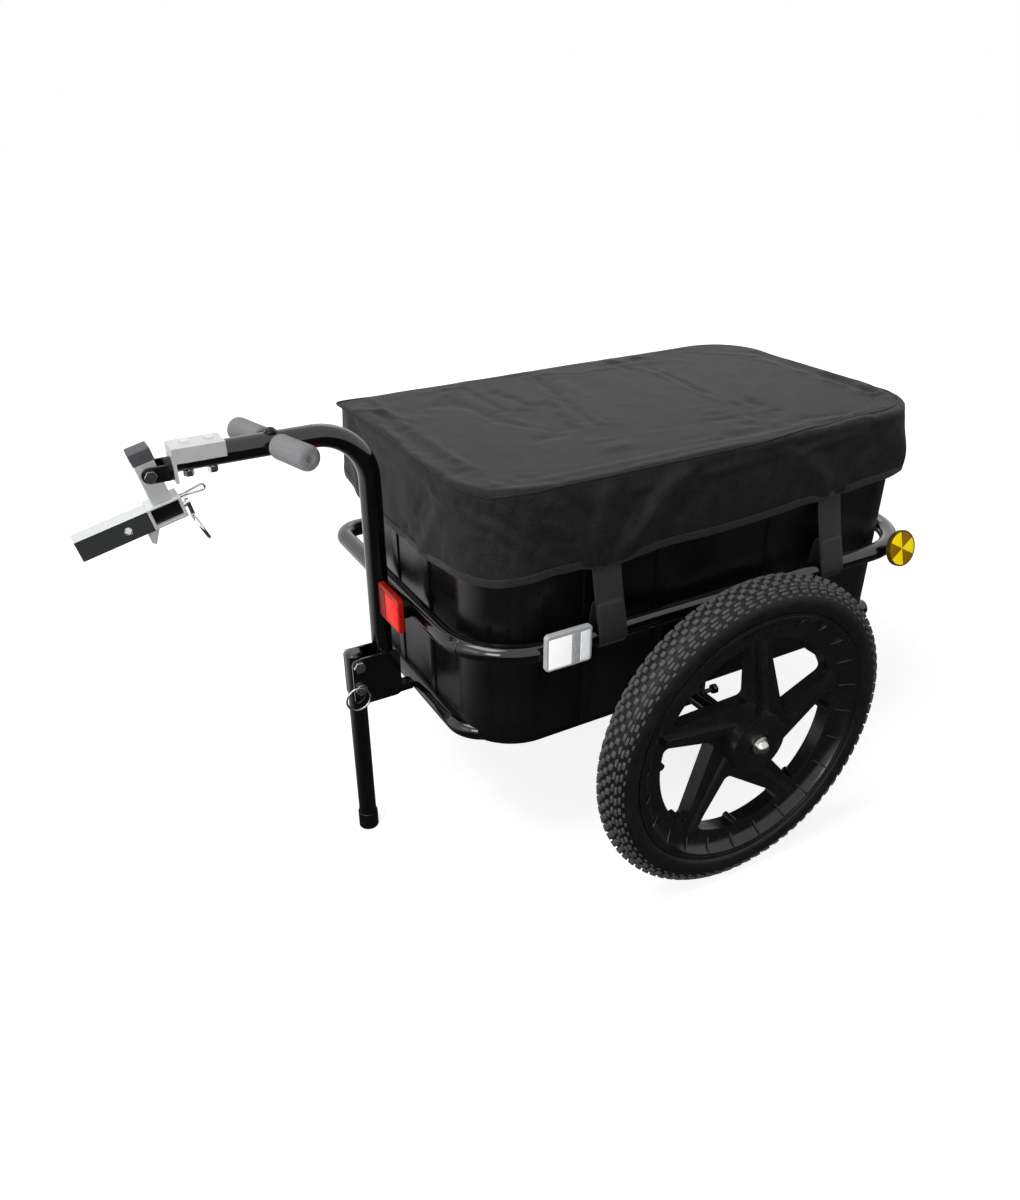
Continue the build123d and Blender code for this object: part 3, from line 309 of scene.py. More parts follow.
# ------------------------------------------------------------------ finishes
@dataclass(frozen=True)
class Finish:
    """A surface: what it is made of, how it was made, and what the eye sees.

    The base class is a moulded or painted surface. Fine grain is bump, slow
    waves bend the reflections, and smudges change the gloss.
    """

    name: str
    colour: str
    tint: str
    roughness: float
    metallic: float = 0.0
    ior: float = 1.5
    coat: float = 0.0
    specular: float = 0.5
    grain_mm: float = 0.8
    grain_depth: float = 0.02
    wave_mm: float = 40.0
    wave_depth: float = 0.0
    smudge: float = 0.08
    mottle_mm: float = 30.0

    def material(self) -> bpy.types.Material:
        """Makes the material once, and gives it again after that."""
        known = bpy.data.materials.get(self.name)
        if known:
            return known
        material = bpy.data.materials.new(self.name)
        material.use_nodes = True
        tree = material.node_tree
        tree.nodes.clear()
        shader = add_node(tree, "ShaderNodeBsdfPrincipled", {
            "Roughness": self.roughness, "Metallic": self.metallic, "IOR": self.ior,
            "Coat Weight": self.coat, "Coat Roughness": 0.06, "Base Color": linear(self.colour),
            "Specular IOR Level": self.specular})
        add_node(tree, "ShaderNodeOutputMaterial", links={"Surface": shader.outputs["BSDF"]})
        self.dress(tree, shader)
        return material

    def dress(self, tree: bpy.types.NodeTree, shader: bpy.types.Node) -> None:
        """Adds colour, gloss and bump patterns to the shader.

        Args:
            tree: The material's node tree.
            shader: Its principled shader.
        """
        space = add_node(tree, "ShaderNodeTexCoord").outputs["Object"]
        mottle = noise_of(tree, space, self.mottle_mm, 4.0, 0.6)
        gloss = ranged(tree, mottle, (0.3, 0.7), (max(0.02, self.roughness - self.smudge),
                                                  self.roughness + self.smudge))
        bump = add_node(tree, "ShaderNodeBump", {"Strength": 0.6, "Distance": mm(self.grain_depth)},
                        {"Height": noise_of(tree, space, self.grain_mm, 2.0)})
        if self.wave_depth:
            bump = add_node(tree, "ShaderNodeBump", {"Strength": 1.0, "Distance": mm(self.wave_depth)},
                            {"Height": noise_of(tree, space, self.wave_mm, 1.0),
                             "Normal": bump.outputs["Normal"]})
        self.tone(tree, shader, mottle)
        tree.links.new(gloss, shader.inputs["Roughness"])
        tree.links.new(bump.outputs["Normal"], shader.inputs["Normal"])

    def tone(self, tree: bpy.types.NodeTree, shader: bpy.types.Node, share: bpy.types.NodeSocket) -> None:
        """Colours the shader between the finish's two shades."""
        mixed = add_node(tree, "ShaderNodeMix", {"data_type": "RGBA", 6: linear(self.colour),
                                                 7: linear(self.tint)}, {0: share})
        tree.links.new(mixed.outputs[2], shader.inputs["Base Color"])


@dataclass(frozen=True)
class WovenFinish(Finish):
    """Plain-woven cloth on the piece's own UV map, which is in metres.

    Each square of the weave shows either a warp or a weft thread, so the cloth
    has a fine chequered tooth, and its raised fibres catch light at the edges.
    """

    thread_mm: float = 1.5
    thread_depth: float = 0.12
    sheen: float = 0.15

    def dress(self, tree: bpy.types.NodeTree, shader: bpy.types.Node) -> None:
        """Adds the weave, its slubs and its sheen.

        Args:
            tree: The material's node tree.
            shader: Its principled shader.
        """
        cloth = add_node(tree, "ShaderNodeUVMap", {"uv_map": "cloth"}).outputs["UV"]
        count = 1000 / self.thread_mm
        chequer = add_node(tree, "ShaderNodeTexChecker", {"Scale": count}, {"Vector": cloth})
        split = add_node(tree, "ShaderNodeSeparateXYZ", links={0: cloth})
        threads = []
        for axis in ("X", "Y"):
            angle = add_node(tree, "ShaderNodeMath", {"operation": "MULTIPLY", 1: count * math.pi},
                             {0: split.outputs[axis]})
            wave = add_node(tree, "ShaderNodeMath", {"operation": "SINE"}, {0: angle.outputs[0]})
            height = add_node(tree, "ShaderNodeMath", {"operation": "ABSOLUTE"}, {0: wave.outputs[0]})
            threads.append(height.outputs[0])
        weave = add_node(tree, "ShaderNodeMix", {"data_type": "FLOAT"},
                         {0: chequer.outputs["Fac"], 2: threads[0], 3: threads[1]})
        patchy = ranged(tree, noise_of(tree, cloth, self.mottle_mm, 5.0, 0.65), (0.28, 0.72), (-0.3, 0.3))
        speckled = ranged(tree, noise_of(tree, cloth, self.grain_mm, 2.0), (0.25, 0.75), (0.25, 0.75))
        shade = add_node(tree, "ShaderNodeMath", {"operation": "ADD", "use_clamp": True},
                         {0: patchy, 1: speckled})
        self.tone(tree, shader, shade.outputs[0])
        bump = add_node(tree, "ShaderNodeBump", {"Strength": 0.7, "Distance": mm(self.thread_depth)},
                        {"Height": weave.outputs[0]})
        tree.links.new(bump.outputs["Normal"], shader.inputs["Normal"])
        shader.inputs["Sheen Weight"].default_value = self.sheen
        shader.inputs["Sheen Roughness"].default_value = 0.45


@dataclass(frozen=True)
class LensFinish(Finish):
    """Moulded prismatic lens under a clear gloss face: each small facet gets a painted glint, light or dark
    at random, and the lens has a painted glow.
    """

    prism_mm: float = 2.6
    # Strength of the painted glow that stands in for the light the lens sends back.
    painted_glow: float = 0.35

    def dress(self, tree: bpy.types.NodeTree, shader: bpy.types.Node) -> None:
        """Adds the facets with their painted glints, and a little painted glow for the light that they send
        back.

        Args:
            tree: The material's node tree.
            shader: Its principled shader.
        """
        # Painted light: the lens glows in its lighter shade, standing in for the light it sends back.
        shader.inputs["Emission Color"].default_value = linear(self.tint)
        shader.inputs["Emission Strength"].default_value = self.painted_glow
        space = add_node(tree, "ShaderNodeTexCoord").outputs["Object"]
        # Painted glints: each facet gets a random shade between dark and light.
        cells = add_node(tree, "ShaderNodeTexVoronoi", {"feature": "F1", "Randomness": 0.25,
                                                        "Scale": 1000 / self.prism_mm}, {"Vector": space})
        bright = add_node(tree, "ShaderNodeSeparateColor", links={0: cells.outputs["Color"]})
        self.tone(tree, shader, bright.outputs["Red"])
        bump = add_node(tree, "ShaderNodeBump", {"Strength": 0.5, "Distance": mm(0.3)},
                        {"Height": cells.outputs["Distance"]})
        tree.links.new(bump.outputs["Normal"], shader.inputs["Normal"])


# Gloss powder coat on steel tube: near black, mirror-like, with a faint orange-peel wave.
POWDER_COAT = Finish("powder_coated_steel", "#070708", "#0c0c0d", 0.13, coat=0.5, grain_mm=2.2,
                     grain_depth=0.012, wave_mm=14, wave_depth=0.02, smudge=0.05, mottle_mm=60)
# Injection-moulded polypropylene: satin, with a fine spark grain and slow sink marks.
TUB_PLASTIC = Finish("moulded_polypropylene", "#0a0a0b", "#111112", 0.32, grain_mm=0.9,
                     grain_depth=0.02, wave_mm=70, wave_depth=0.3, smudge=0.1, mottle_mm=90)
# Glass-filled nylon: a little greyer and drier, with flow marks.
RIM_NYLON = Finish("glass_filled_nylon", "#161617", "#242425", 0.24, grain_mm=1.2, grain_depth=0.03,
                   wave_mm=45, wave_depth=0.12, smudge=0.1, mottle_mm=40)
# Vulcanised rubber: matt. Its raised knobs are a much lighter grey, partly scuffs and dust and partly a
# painted highlight for the light from above.
TYRE_RUBBER = Finish("vulcanised_rubber", "#0e0e0f", "#1c1c1d", 0.48, specular=0.35, grain_mm=1.1,
                     grain_depth=0.05, smudge=0.12, mottle_mm=14)
TYRE_KNOBS_DUST_AND_HIGHLIGHT = Finish("dusty_tread_rubber_painted_highlight", "#464647", "#707072", 0.6, grain_mm=0.9, grain_depth=0.08,
                    smudge=0.12, mottle_mm=7)
# Closed-cell foam sleeve: soft dark grey, pitted, no gloss.
GRIP_FOAM = Finish("closed_cell_foam", "#8c8c8e", "#b4b4b6", 0.88, grain_mm=1.4, grain_depth=0.16,
                   smudge=0.05, mottle_mm=3.5)
# Black acetal and PVC small parts.
BLACK_ACETAL = Finish("moulded_acetal", "#09090a", "#0f0f10", 0.3, grain_mm=0.9, grain_depth=0.015,
                      smudge=0.06, mottle_mm=20)
GREY_CAP = Finish("grey_polyethylene", "#4c4c50", "#68686c", 0.5, grain_mm=0.9, grain_depth=0.05,
                  smudge=0.08, mottle_mm=6)
# Decorative chromium over steel: bright, with polishing waves.
CHROME = Finish("chromium_plate", "#dfe2e4", "#f2f4f5", 0.09, metallic=1.0, grain_mm=3.0,
                grain_depth=0.01, wave_mm=12, wave_depth=0.06, smudge=0.05, mottle_mm=25)
# Bright nickel on the clamp and the post, brushed to a white satin: its mostly diffuse white colour is a
# painted reflection of the white surroundings.
NICKEL_PAINTED_REFLECTION = Finish("satin_nickel_painted_reflection", "#f2f4f5", "#ffffff", 0.36, metallic=0.25, grain_mm=3.0,
                      grain_depth=0.01, wave_mm=12, wave_depth=0.03, smudge=0.08, mottle_mm=18)
# Bright zinc on fasteners: whiter and more scattered than chromium.
ZINC = Finish("bright_zinc_plate", "#b9bab8", "#dcdcd8", 0.26, metallic=1.0, grain_mm=0.8,
              grain_depth=0.03, smudge=0.12, mottle_mm=5)
DARK_STEEL = Finish("blackened_steel", "#1a1b1c", "#26272a", 0.3, metallic=0.6, grain_mm=0.8,
                    grain_depth=0.02, smudge=0.1, mottle_mm=8)
# Coated 600-denier polyester; its real 0.5 mm threads are drawn three times as coarse.
COVER_CLOTH = WovenFinish("coated_oxford_polyester", "#111112", "#38383a", 0.52, specular=0.14,
                          grain_mm=2.2, mottle_mm=26, thread_mm=1.5, thread_depth=0.1, sheen=0.04)
# The hem's bias tape: the same yarn in a tighter weave, which catches more light.
COVER_BINDING = WovenFinish("woven_bias_tape", "#222223", "#343436", 0.6, specular=0.25, grain_mm=2.2,
                            mottle_mm=14, thread_mm=1.5, thread_depth=0.1, sheen=0.2)
# Polypropylene webbing: coarser, with ribs across.
WEBBING = WovenFinish("polypropylene_webbing", "#141417", "#26262a", 0.55, grain_mm=2.5, mottle_mm=12,
                      thread_mm=2.4, thread_depth=0.25, sheen=0.12)
# Clear acrylic prisms, in a lit and a shaded copy: painted light where they send the light back, painted
# shade where they don't.
CLEAR_LENS = LensFinish("clear_prism_acrylic", "#b9bcc0", "#eceef0", 0.1, prism_mm=2.2, painted_glow=0.5)
CLEAR_PAINTED_LIT = LensFinish("clear_prism_painted_lit", "#f0f2f3", "#ffffff", 0.1, prism_mm=2.2, painted_glow=0.6)
CLEAR_PAINTED_SHADE = LensFinish("clear_prism_painted_shade", "#a2a4a8", "#c4c6ca", 0.12, prism_mm=2.2, painted_glow=0.2)
CLEAR_BEZEL = Finish("clear_acrylic_bezel", "#d6d8da", "#f0f2f4", 0.12)
# Dyed acrylic keeps its colour: its face is a little dulled, so little white lies over it. Each colour
# comes as a copy in painted light and a darker copy in painted shade.
RED_PAINTED_LIT = LensFinish("red_prism_painted_lit", "#e01004", "#ff1c08", 0.3, specular=0.12,
                      prism_mm=2.2, painted_glow=0.5)
RED_PAINTED_SHADE = LensFinish("red_prism_painted_shade", "#7c0d06", "#a8140c", 0.3, specular=0.12,
                      prism_mm=2.2, painted_glow=0.12)
RED_BEZEL = Finish("red_acrylic_bezel", "#b8140c", "#cc2016", 0.25, specular=0.12)
# Amber, as a copy in painted light and a darker copy in painted shade.
AMBER_PAINTED_LIT = LensFinish("amber_prism_painted_lit", "#f6d400", "#ffe600", 0.2, specular=0.12,
                        prism_mm=1.8, painted_glow=0.5)
AMBER_PAINTED_SHADE = LensFinish("amber_prism_painted_shade", "#9a6400", "#c48a00", 0.2, specular=0.12, prism_mm=1.8,
                        painted_glow=0.15)
AMBER_RIM = Finish("amber_acrylic_rim", "#5a4406", "#7a5c0a", 0.2)


class Side(Enum):
    """The trailer's two sides: the word in the solids' names, and the sign of Y."""

    LEFT = ("left", 1)
    RIGHT = ("right", -1)

    @property
    def word(self) -> str:
        """The side's word."""
        return self.value[0]

    @property
    def sign(self) -> int:
        """The sign of Y on this side."""
        return self.value[1]


# ------------------------------------------------------------------ wheels
@dataclass
class Wheel:
    """One wheel: a moulded five-spoke rim, a knobbly tyre and a domed axle nut."""

    side: Side
    groups: int = 78
    knob_height: float = 3.4
    outer_radius: float = 200.0
    section: float = 25.0
    # The gussets follow the channel's side, given by two points as (half width, radius).
    ribs: int = 24
    rib_first: float = 11.0
    rib_size: tuple[float, float, float] = (1.7, 4.0, 20.5)
    rib_middle: tuple[float, float] = (13.0, 147.2)
    channel: tuple[tuple[float, float], tuple[float, float]] = ((9.0, 138.0), (20.0, 154.0))
    # The bead's section as (half width, radius).
    bead: tuple[tuple[float, float], ...] = (
        (19.6, 159.2), (20.6, 158.9), (20.9, 158.2), (20.6, 157.5), (19.6, 157.2))
    # Half of the casing's section as (half width, radius), from the crown to the seat's middle.
    casing: tuple[tuple[float, float], ...] = (
        (0.0, 196.8), (5.5, 196.3), (10.5, 194.6), (15.0, 191.4), (18.8, 186.8), (21.6, 181.2),
        (23.0, 175.4), (22.9, 170.6), (22.2, 168.4), (21.9, 166.2), (20.2, 164.0), (18.6, 162.9),
        (18.2, 161.9), (16.0, 161.2), (16.0, 156.4), (8.0, 149.4), (0.0, 149.3))
    # Each knob: turn across the crown in degrees, share of the pitch, length round, width, height.
    knobs: tuple[tuple[float, float, float, float, float], ...] = (
        (8.0, 0.00, 7.0, 5.0, 1.0), (22.0, 0.50, 7.5, 5.0, 1.0), (35.0, 0.05, 9.0, 3.2, 0.95),
        (44.5, 0.24, 9.0, 3.2, 0.9), (55.0, 0.12, 8.5, 3.4, 0.8), (66.0, 0.62, 6.0, 2.6, 0.45))

    @property
    def body(self) -> str:
        """The body that all of this wheel rides on."""
        return "wheel_" + self.side.word

    def build(self) -> None:
        """Makes the tyre, the rim with its ribs, the bush and the nut."""
        self.make_tyre()
        softened(self.body + "_rim", RIM_NYLON, 0.9)
        self.make_ribs()
        softened(self.body + "_bush", BLACK_ACETAL, 0.5)
        self.make_nut()

    def make_tyre(self) -> None:
        """Spins the casing, and sets the tread's knobs on it."""
        half = list(self.casing)
        ring = half + [(-a, r) for a, r in reversed(half)][1:-1]
        bm = spun(ring, 168, closed=True)
        bmesh.ops.translate(bm, verts=bm.verts, vec=middle_of(self.body + "_tyre"))
        as_piece(bm, self.body + "_tyre_casing", TYRE_RUBBER, self.body,
                 [self.body + "_tyre"], crease=50)
        bm = bmesh.new()
        self.add_tread(bm)
        bmesh.ops.translate(bm, verts=bm.verts, vec=middle_of(self.body + "_tyre"))
        as_piece(bm, self.body + "_tyre_tread", TYRE_KNOBS_DUST_AND_HIGHLIGHT, self.body, crease=50)

    def add_tread(self, bm: bmesh.types.BMesh) -> None:
        """Adds one group of knobs and spins it round the casing.

        Args:
            bm: The mesh that gets the tread, about the origin.
        """
        crown = self.outer_radius - self.section
        pitch = TAU / self.groups
        for turn, share, length, width, height in self.knobs:
            for sign in (1, -1):
                lift = self.section - self.knob_height / 2 - 0.5 - (1 - height) * self.knob_height
                shift = (share + (0.5 if sign < 0 else 0.0)) * pitch
                place = (Matrix.Rotation(shift, 4, "Y") @ Matrix.Translation((0, 0, mm(crown)))
                         @ Matrix.Rotation(-sign * math.radians(turn), 4, "X")
                         @ Matrix.Translation((0, 0, mm(lift))))
                rounded_box(bm, (length, width, self.knob_height + 1.0), place, 0.7, 1)
        repeat_round(bm, self.groups)

    def make_ribs(self) -> bpy.types.Object:
        """Radial gussets and a bead in the rim's channel, on both faces."""
        bm = bmesh.new()
        (inner_width, inner_radius), (outer_width, outer_radius) = self.channel
        slope = math.atan2(outer_width - inner_width, outer_radius - inner_radius)
        across, out = self.rib_middle
        for sign in (1, -1):
            place = (Matrix.Translation((0, sign * mm(across), mm(out)))
                     @ Matrix.Rotation(-sign * slope, 4, "X"))
            rounded_box(bm, self.rib_size, place, 0.5, 1)
        bmesh.ops.rotate(bm, verts=bm.verts, cent=(0, 0, 0),
                         matrix=Matrix.Rotation(math.radians(self.rib_first), 3, "Y"))
        repeat_round(bm, self.ribs)
        for sign in (1, -1):
            scrap = meshed(spun([(sign * along, radius) for along, radius in self.bead], 120), "bead")
            bm.from_mesh(scrap)
            bpy.data.meshes.remove(scrap)
        bmesh.ops.translate(bm, verts=bm.verts, vec=middle_of(self.body + "_tyre"))
        return as_piece(bm, self.body + "_rim_ribs", RIM_NYLON, self.body, crease=50)

    def make_nut(self) -> bpy.types.Object:
        """Domed cap nut with its washer."""
        node = "axle_nut_" + self.side.word
        low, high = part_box(node)
        start = (low.y if self.side is Side.LEFT else high.y)
        profile = [(0.0, 6.2), (0.0, 11.0), (2.2, 11.0), (2.6, 10.6), (2.6, 8.6), (5.6, 8.4), (6.6, 7.6),
                   (8.6, 6.9), (10.4, 5.2), (11.4, 2.8), (11.8, 0.0)]
        bm = spun([(along * self.side.sign, radius) for along, radius in profile], 40)
        middle = middle_of(node)
        bmesh.ops.translate(bm, verts=bm.verts, vec=(middle.x, start, middle.z))
        return as_piece(bm, node + "_dome", ZINC, "chassis", [node])


# ------------------------------------------------------------------ stage
@dataclass(frozen=True)
class Softbox:
    """A rectangular studio lamp: its place, what it faces and its size in metres, and its power."""

    name: str
    place: tuple[float, float, float]
    target: tuple[float, float, float]
    size: tuple[float, float]
    watts: float

    def hang(self) -> None:
        """Adds the lamp to the scene."""
        light = bpy.data.lights.new(self.name, "AREA")
        light.shape = "RECTANGLE"
        light.size, light.size_y = self.size
        light.energy = self.watts
        lamp = placed(self.name, light)
        lamp.location = self.place
        facing = Vector(self.target) - Vector(self.place)
        lamp.rotation_euler = facing.to_track_quat("-Z", "Y").to_euler()


@dataclass
class Stage:
    """Pale floor, soft lamps and the camera, none of them part of the trailer."""

    focal_mm: float = 29.4
    azimuth: float = 150.72
    elevation: float = 28.36
    roll: float = -0.19
    # The camera's place from the axle's middle on the floor, in metres.
    eye: tuple[float, float, float] = (0.68836, 0.96483, 0.87554)
    # The main lamp hangs over the front; the left one is near, so its light falls off rearwards.
    lamps: tuple[Softbox, ...] = (
        Softbox("overhead_softbox", (1.0, 0.2, 2.3), (0.0, 0.0, 0.4), (1.2, 0.9), 17.0),
        Softbox("front_softbox", (2.1, 0.5, 1.0), (0.2, 0.0, 0.4), (0.8, 0.8), 2.6),
        Softbox("left_softbox", (1.35, 1.15, 0.95), (0.1, 0.1, 0.35), (0.5, 0.5), 6.0),
        Softbox("rear_softbox", (-1.2, -1.8, 2.2), (0.0, 0.0, 0.4), (1.4, 1.0), 5.0))
    # The floor keeps the shadow within the first radius, and is plain white past the second.
    shadow_radius: float = 0.6
    white_radius: float = 1.3

    def build(self) -> None:
        """Sets the floor, the world, the lamps and the camera."""
        self.make_floor()
        self.make_world()
        for lamp in self.lamps:
            lamp.hang()
        self.make_camera()
        bpy.context.scene.view_settings.view_transform = "Standard"

    def make_floor(self) -> None:
        """One large pale plane that keeps the trailer's shadow and fades to white."""
        bm = bmesh.new()
        bmesh.ops.create_circle(bm, cap_ends=True, segments=96, radius=14.0)
        mesh = meshed(bm, "floor")
        floor = placed("floor", mesh)
        material = bpy.data.materials.new("pale_floor")
        material.use_nodes = True
        tree = material.node_tree
        tree.nodes.clear()
        path = add_node(tree, "ShaderNodeLightPath")
        space = add_node(tree, "ShaderNodeTexCoord").outputs["Object"]
        away = add_node(tree, "ShaderNodeVectorMath", {"operation": "LENGTH"}, {0: space})
        fade = ranged(tree, away.outputs["Value"], (self.shadow_radius, self.white_radius), (0.8, 1.0),
                      "SMOOTHSTEP")
        pale = add_node(tree, "ShaderNodeBsdfDiffuse", {"Color": (0.9, 0.9, 0.9, 1)})
        glow = add_node(tree, "ShaderNodeEmission", {"Color": (1, 1, 1, 1)}, {"Strength": fade})
        lifted = add_node(tree, "ShaderNodeAddShader", links={0: pale.outputs[0], 1: glow.outputs[0]})
        direct = add_node(tree, "ShaderNodeMixShader", links={
            0: path.outputs["Is Camera Ray"], 1: pale.outputs[0], 2: lifted.outputs[0]})
        # In reflections the floor is dark on the left, so that plated and painted sides keep depth.
        towards = add_node(tree, "ShaderNodeVectorMath",
                           {"operation": "DOT_PRODUCT", 1: (0.55, -0.83, 0.0)}, {0: space})
        cloth = ranged(tree, towards.outputs["Value"], (0.1, 0.75), (0.04, 0.9), "SMOOTHSTEP")
        mirrored = add_node(tree, "ShaderNodeEmission", {"Color": (1, 1, 1, 1)}, {"Strength": cloth})
        seen = add_node(tree, "ShaderNodeMixShader", links={
            0: path.outputs["Is Glossy Ray"], 1: direct.outputs[0], 2: mirrored.outputs[0]})
        add_node(tree, "ShaderNodeOutputMaterial", links={"Surface": seen.outputs[0]})
        mesh.materials.append(material)

    def make_world(self) -> None:
        """White for the camera and in reflections, softer where it only fills shadows."""
        world = bpy.data.worlds.new("studio")
        bpy.context.scene.world = world
        world.use_nodes = True
        tree = world.node_tree
        tree.nodes.clear()
        path = add_node(tree, "ShaderNodeLightPath")
        fill = add_node(tree, "ShaderNodeBackground", {"Color": (1, 1, 1, 1), "Strength": 0.12})
        white = add_node(tree, "ShaderNodeBackground", {"Color": (1, 1, 1, 1), "Strength": 1.0})
        seen = add_node(tree, "ShaderNodeMath", {"operation": "MAXIMUM"}, {
            0: path.outputs["Is Camera Ray"], 1: path.outputs["Is Glossy Ray"]})
        through = add_node(tree, "ShaderNodeMath", {"operation": "MAXIMUM"}, {
            0: seen.outputs[0], 1: path.outputs["Is Transmission Ray"]})
        mixed = add_node(tree, "ShaderNodeMixShader", links={
            0: through.outputs[0], 1: fill.outputs[0], 2: white.outputs[0]})
        add_node(tree, "ShaderNodeOutputWorld", links={"Surface": mixed.outputs[0]})

    def make_camera(self) -> None:
        """Puts the camera where the trailer was seen from."""
        around, up = math.radians(self.azimuth), math.radians(self.elevation)
        back = Vector((math.sin(around) * math.cos(up), -math.cos(around) * math.cos(up), math.sin(up)))
        right = Vector((math.cos(around), math.sin(around), 0.0))
        turn = Matrix((right, back.cross(right), back)).transposed().to_4x4()
        data = bpy.data.cameras.new("camera")
        data.lens = self.focal_mm
        data.sensor_width = 36.0
        camera = placed("camera", data)
        axle = middle_of("wheel_left_tyre").x
        place = Matrix.Translation(Vector(self.eye) + Vector((axle, 0, 0)))
        camera.matrix_world = place @ turn @ Matrix.Rotation(math.radians(self.roll), 4, "Z")
        bpy.context.scene.camera = camera


# ------------------------------------------------------------------ cover
@dataclass(frozen=True)
class Crease:
    """A soft fold along a straight line, in millimetres; a negative height is a valley."""

    start: tuple[float, float]
    end: tuple[float, float]
    height: float
    spread: float

    def at(self, along: float, across: float) -> float:
        """Height that the fold adds at a point, in millimetres."""
        line = Vector(self.end) - Vector(self.start)
        away = Vector((along, across)) - Vector(self.start)
        share = away.dot(line) / line.length_squared
        nearest = Vector(self.start) + line * min(1.0, max(0.0, share))
        distance = (Vector((along, across)) - nearest).length
        return self.height * hump(distance, self.spread)


@dataclass
class Cover:
    """Fitted fabric cover: a top panel with piping, a hanging skirt and a bound hem.

    The cloth is cut and laid out over the tub's rim, with the folds that
    its straps pull into it, and a short cloth simulation lets it settle.
    """

    cell: float = 7.0
    skirt: float = 98.0
    frames: int = 22
    thickness: float = 0.9
    piping: float = 1.1
    binding: float = 8.0
    # How far the seam, the rim's edge and the hem stand out from the tub's rim.
    seam_out: float = 1.2
    rim_out: float = 1.8
    hem_out: float = 5.2
    # Corner radii of the seam: front left, rear left, rear right, front right.
    corners: tuple[float, float, float, float] = (70.0, 74.0, 74.0, 12.0)
    rim_corner: float = 77.0
    # How far the left and the right seam draw in towards the rear.
    left_draw: float = 14.0
    right_draw: float = 3.0
    # The front left corner's roll and the front right corner's point: place, size and reach.
    roll: tuple[float, float] = (262.0, 158.0)
    roll_drop: float = 9.0
    roll_reach: float = 42.0
    point: tuple[float, float] = (288.0, -191.0)
    point_out: float = 8.0
    point_reach: float = 45.0
    # The skirt hangs lower in front, and where the straps pull it down.
    front_drop: float = 12.0
    strap_places: tuple[float, float] = (137.0, -190.0)
    strap_pull: float = 5.0
    strap_reach: float = 34.0
    # How firmly the simulation keeps the laid-out top, seam and skirt.
    hold_top: float = 0.3
    hold_seam: float = 0.45
    hold_skirt: float = 0.55
    # The skirt starts this far below the top; the sharp corner and the straps' ends stay put.
    skirt_below: float = 26.0
    tight_corner: float = 34.0
    tight_strap: float = 16.0
    # Folds of the top, along X and Y from the axle.
    top_folds: tuple[Crease, ...] = (
        Crease((13, -190), (60, 50), -4.6, 8), Crease((-8, -190), (34, 50), 4.4, 13),
        Crease((-60, -150), (-90, 70), 3.6, 22), Crease((-150, -195), (-135, 10), -4.2, 15),
        Crease((-225, -190), (-200, 60), 4.0, 24), Crease((208, 50), (196, 130), 3.6, 20),
        Crease((120, -150), (140, 60), -3.2, 24), Crease((40, 100), (130, 150), 3.4, 16),
        Crease((150, 118), (-70, 138), 2.8, 10), Crease((90, 92), (-160, 112), -2.6, 9),
        Crease((-250, 20), (-60, 120), -3.0, 22))
    # Folds of the left skirt, along X and up from the floor.
    left_folds: tuple[Crease, ...] = (
        Crease((286, 500), (168, 418), -10.0, 12), Crease((266, 505), (196, 436), 8.0, 11),
        Crease((245, 505), (196, 448), -9.0, 10), Crease((140, 505), (138, 424), 9.0, 15),
        Crease((36, 508), (118, 426), 9.0, 14), Crease((90, 500), (128, 428), -7.0, 12),
        Crease((210, 500), (160, 424), 7.0, 12), Crease((-20, 505), (60, 424), -6.0, 16),
        Crease((-120, 500), (-186, 425), 6.5, 15), Crease((-260, 500), (-200, 425), -7.0, 14),
        Crease((-300, 470), (-330, 440), 7.5, 20))
    # Folds of the front skirt, along Y and up.
    front_folds: tuple[Crease, ...] = (
        Crease((126, 500), (58, 408), 6.0, 11), Crease((100, 500), (20, 420), -4.6, 12),
        Crease((150, 500), (128, 420), -4.0, 9), Crease((-150, 500), (-120, 410), 4.0, 16))

    def build(self) -> None:
        """Cuts the cloth, drapes it over the tub's rim and trims it."""
        self.low, self.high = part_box("tub")
        self.axle = middle_of("wheel_left_tyre").x
        self.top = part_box("cover")[1].z - mm(1.2)
        bm, edge, hem = self.cut()
        piece = placed("cover_cloth", meshed(bm, "cover_cloth"))
        self.drape(piece, edge, hem)
        thickened(piece, self.thickness, -1.0)
        trims = [self.trim(piece, edge, "cover_piping", self.piping, 0.0),
                 self.trim(piece, hem, "cover_binding", self.thickness * 0.9, self.binding)]
        self.finish(piece, trims)

    def outline(self, u: float, v: float, grow: float, corners: Sequence[float]) -> Vector:
        """Point on a rounded rectangle round the tub's rim.

        Args:
            u: Place along X, from minus one to one.
            v: Place along Y; u or v is at its end.
            grow: How far the outline stands out from the rim, in millimetres.
            corners: The four corner radii in millimetres.

        Returns:
            The point, at the height of the cover's top.
        """
        half_length = (self.high.x - self.low.x) / 2 + mm(grow)
        half_width = (self.high.y - self.low.y) / 2 + mm(grow)
        corner = mm(corners[(0 if v > 0 else 3) if u > 0 else (1 if v > 0 else 2)])
        point = Vector((u * half_length, v * half_width, 0.0))
        centre = Vector((math.copysign(half_length - corner, u),
                         math.copysign(half_width - corner, v), 0.0))
        away = point - centre
        if away.x * u > 0 and away.y * v > 0:
            point = centre + away.normalized() * corner
        middle = (self.low + self.high) / 2
        return Vector((middle.x + point.x, middle.y + point.y, self.top))

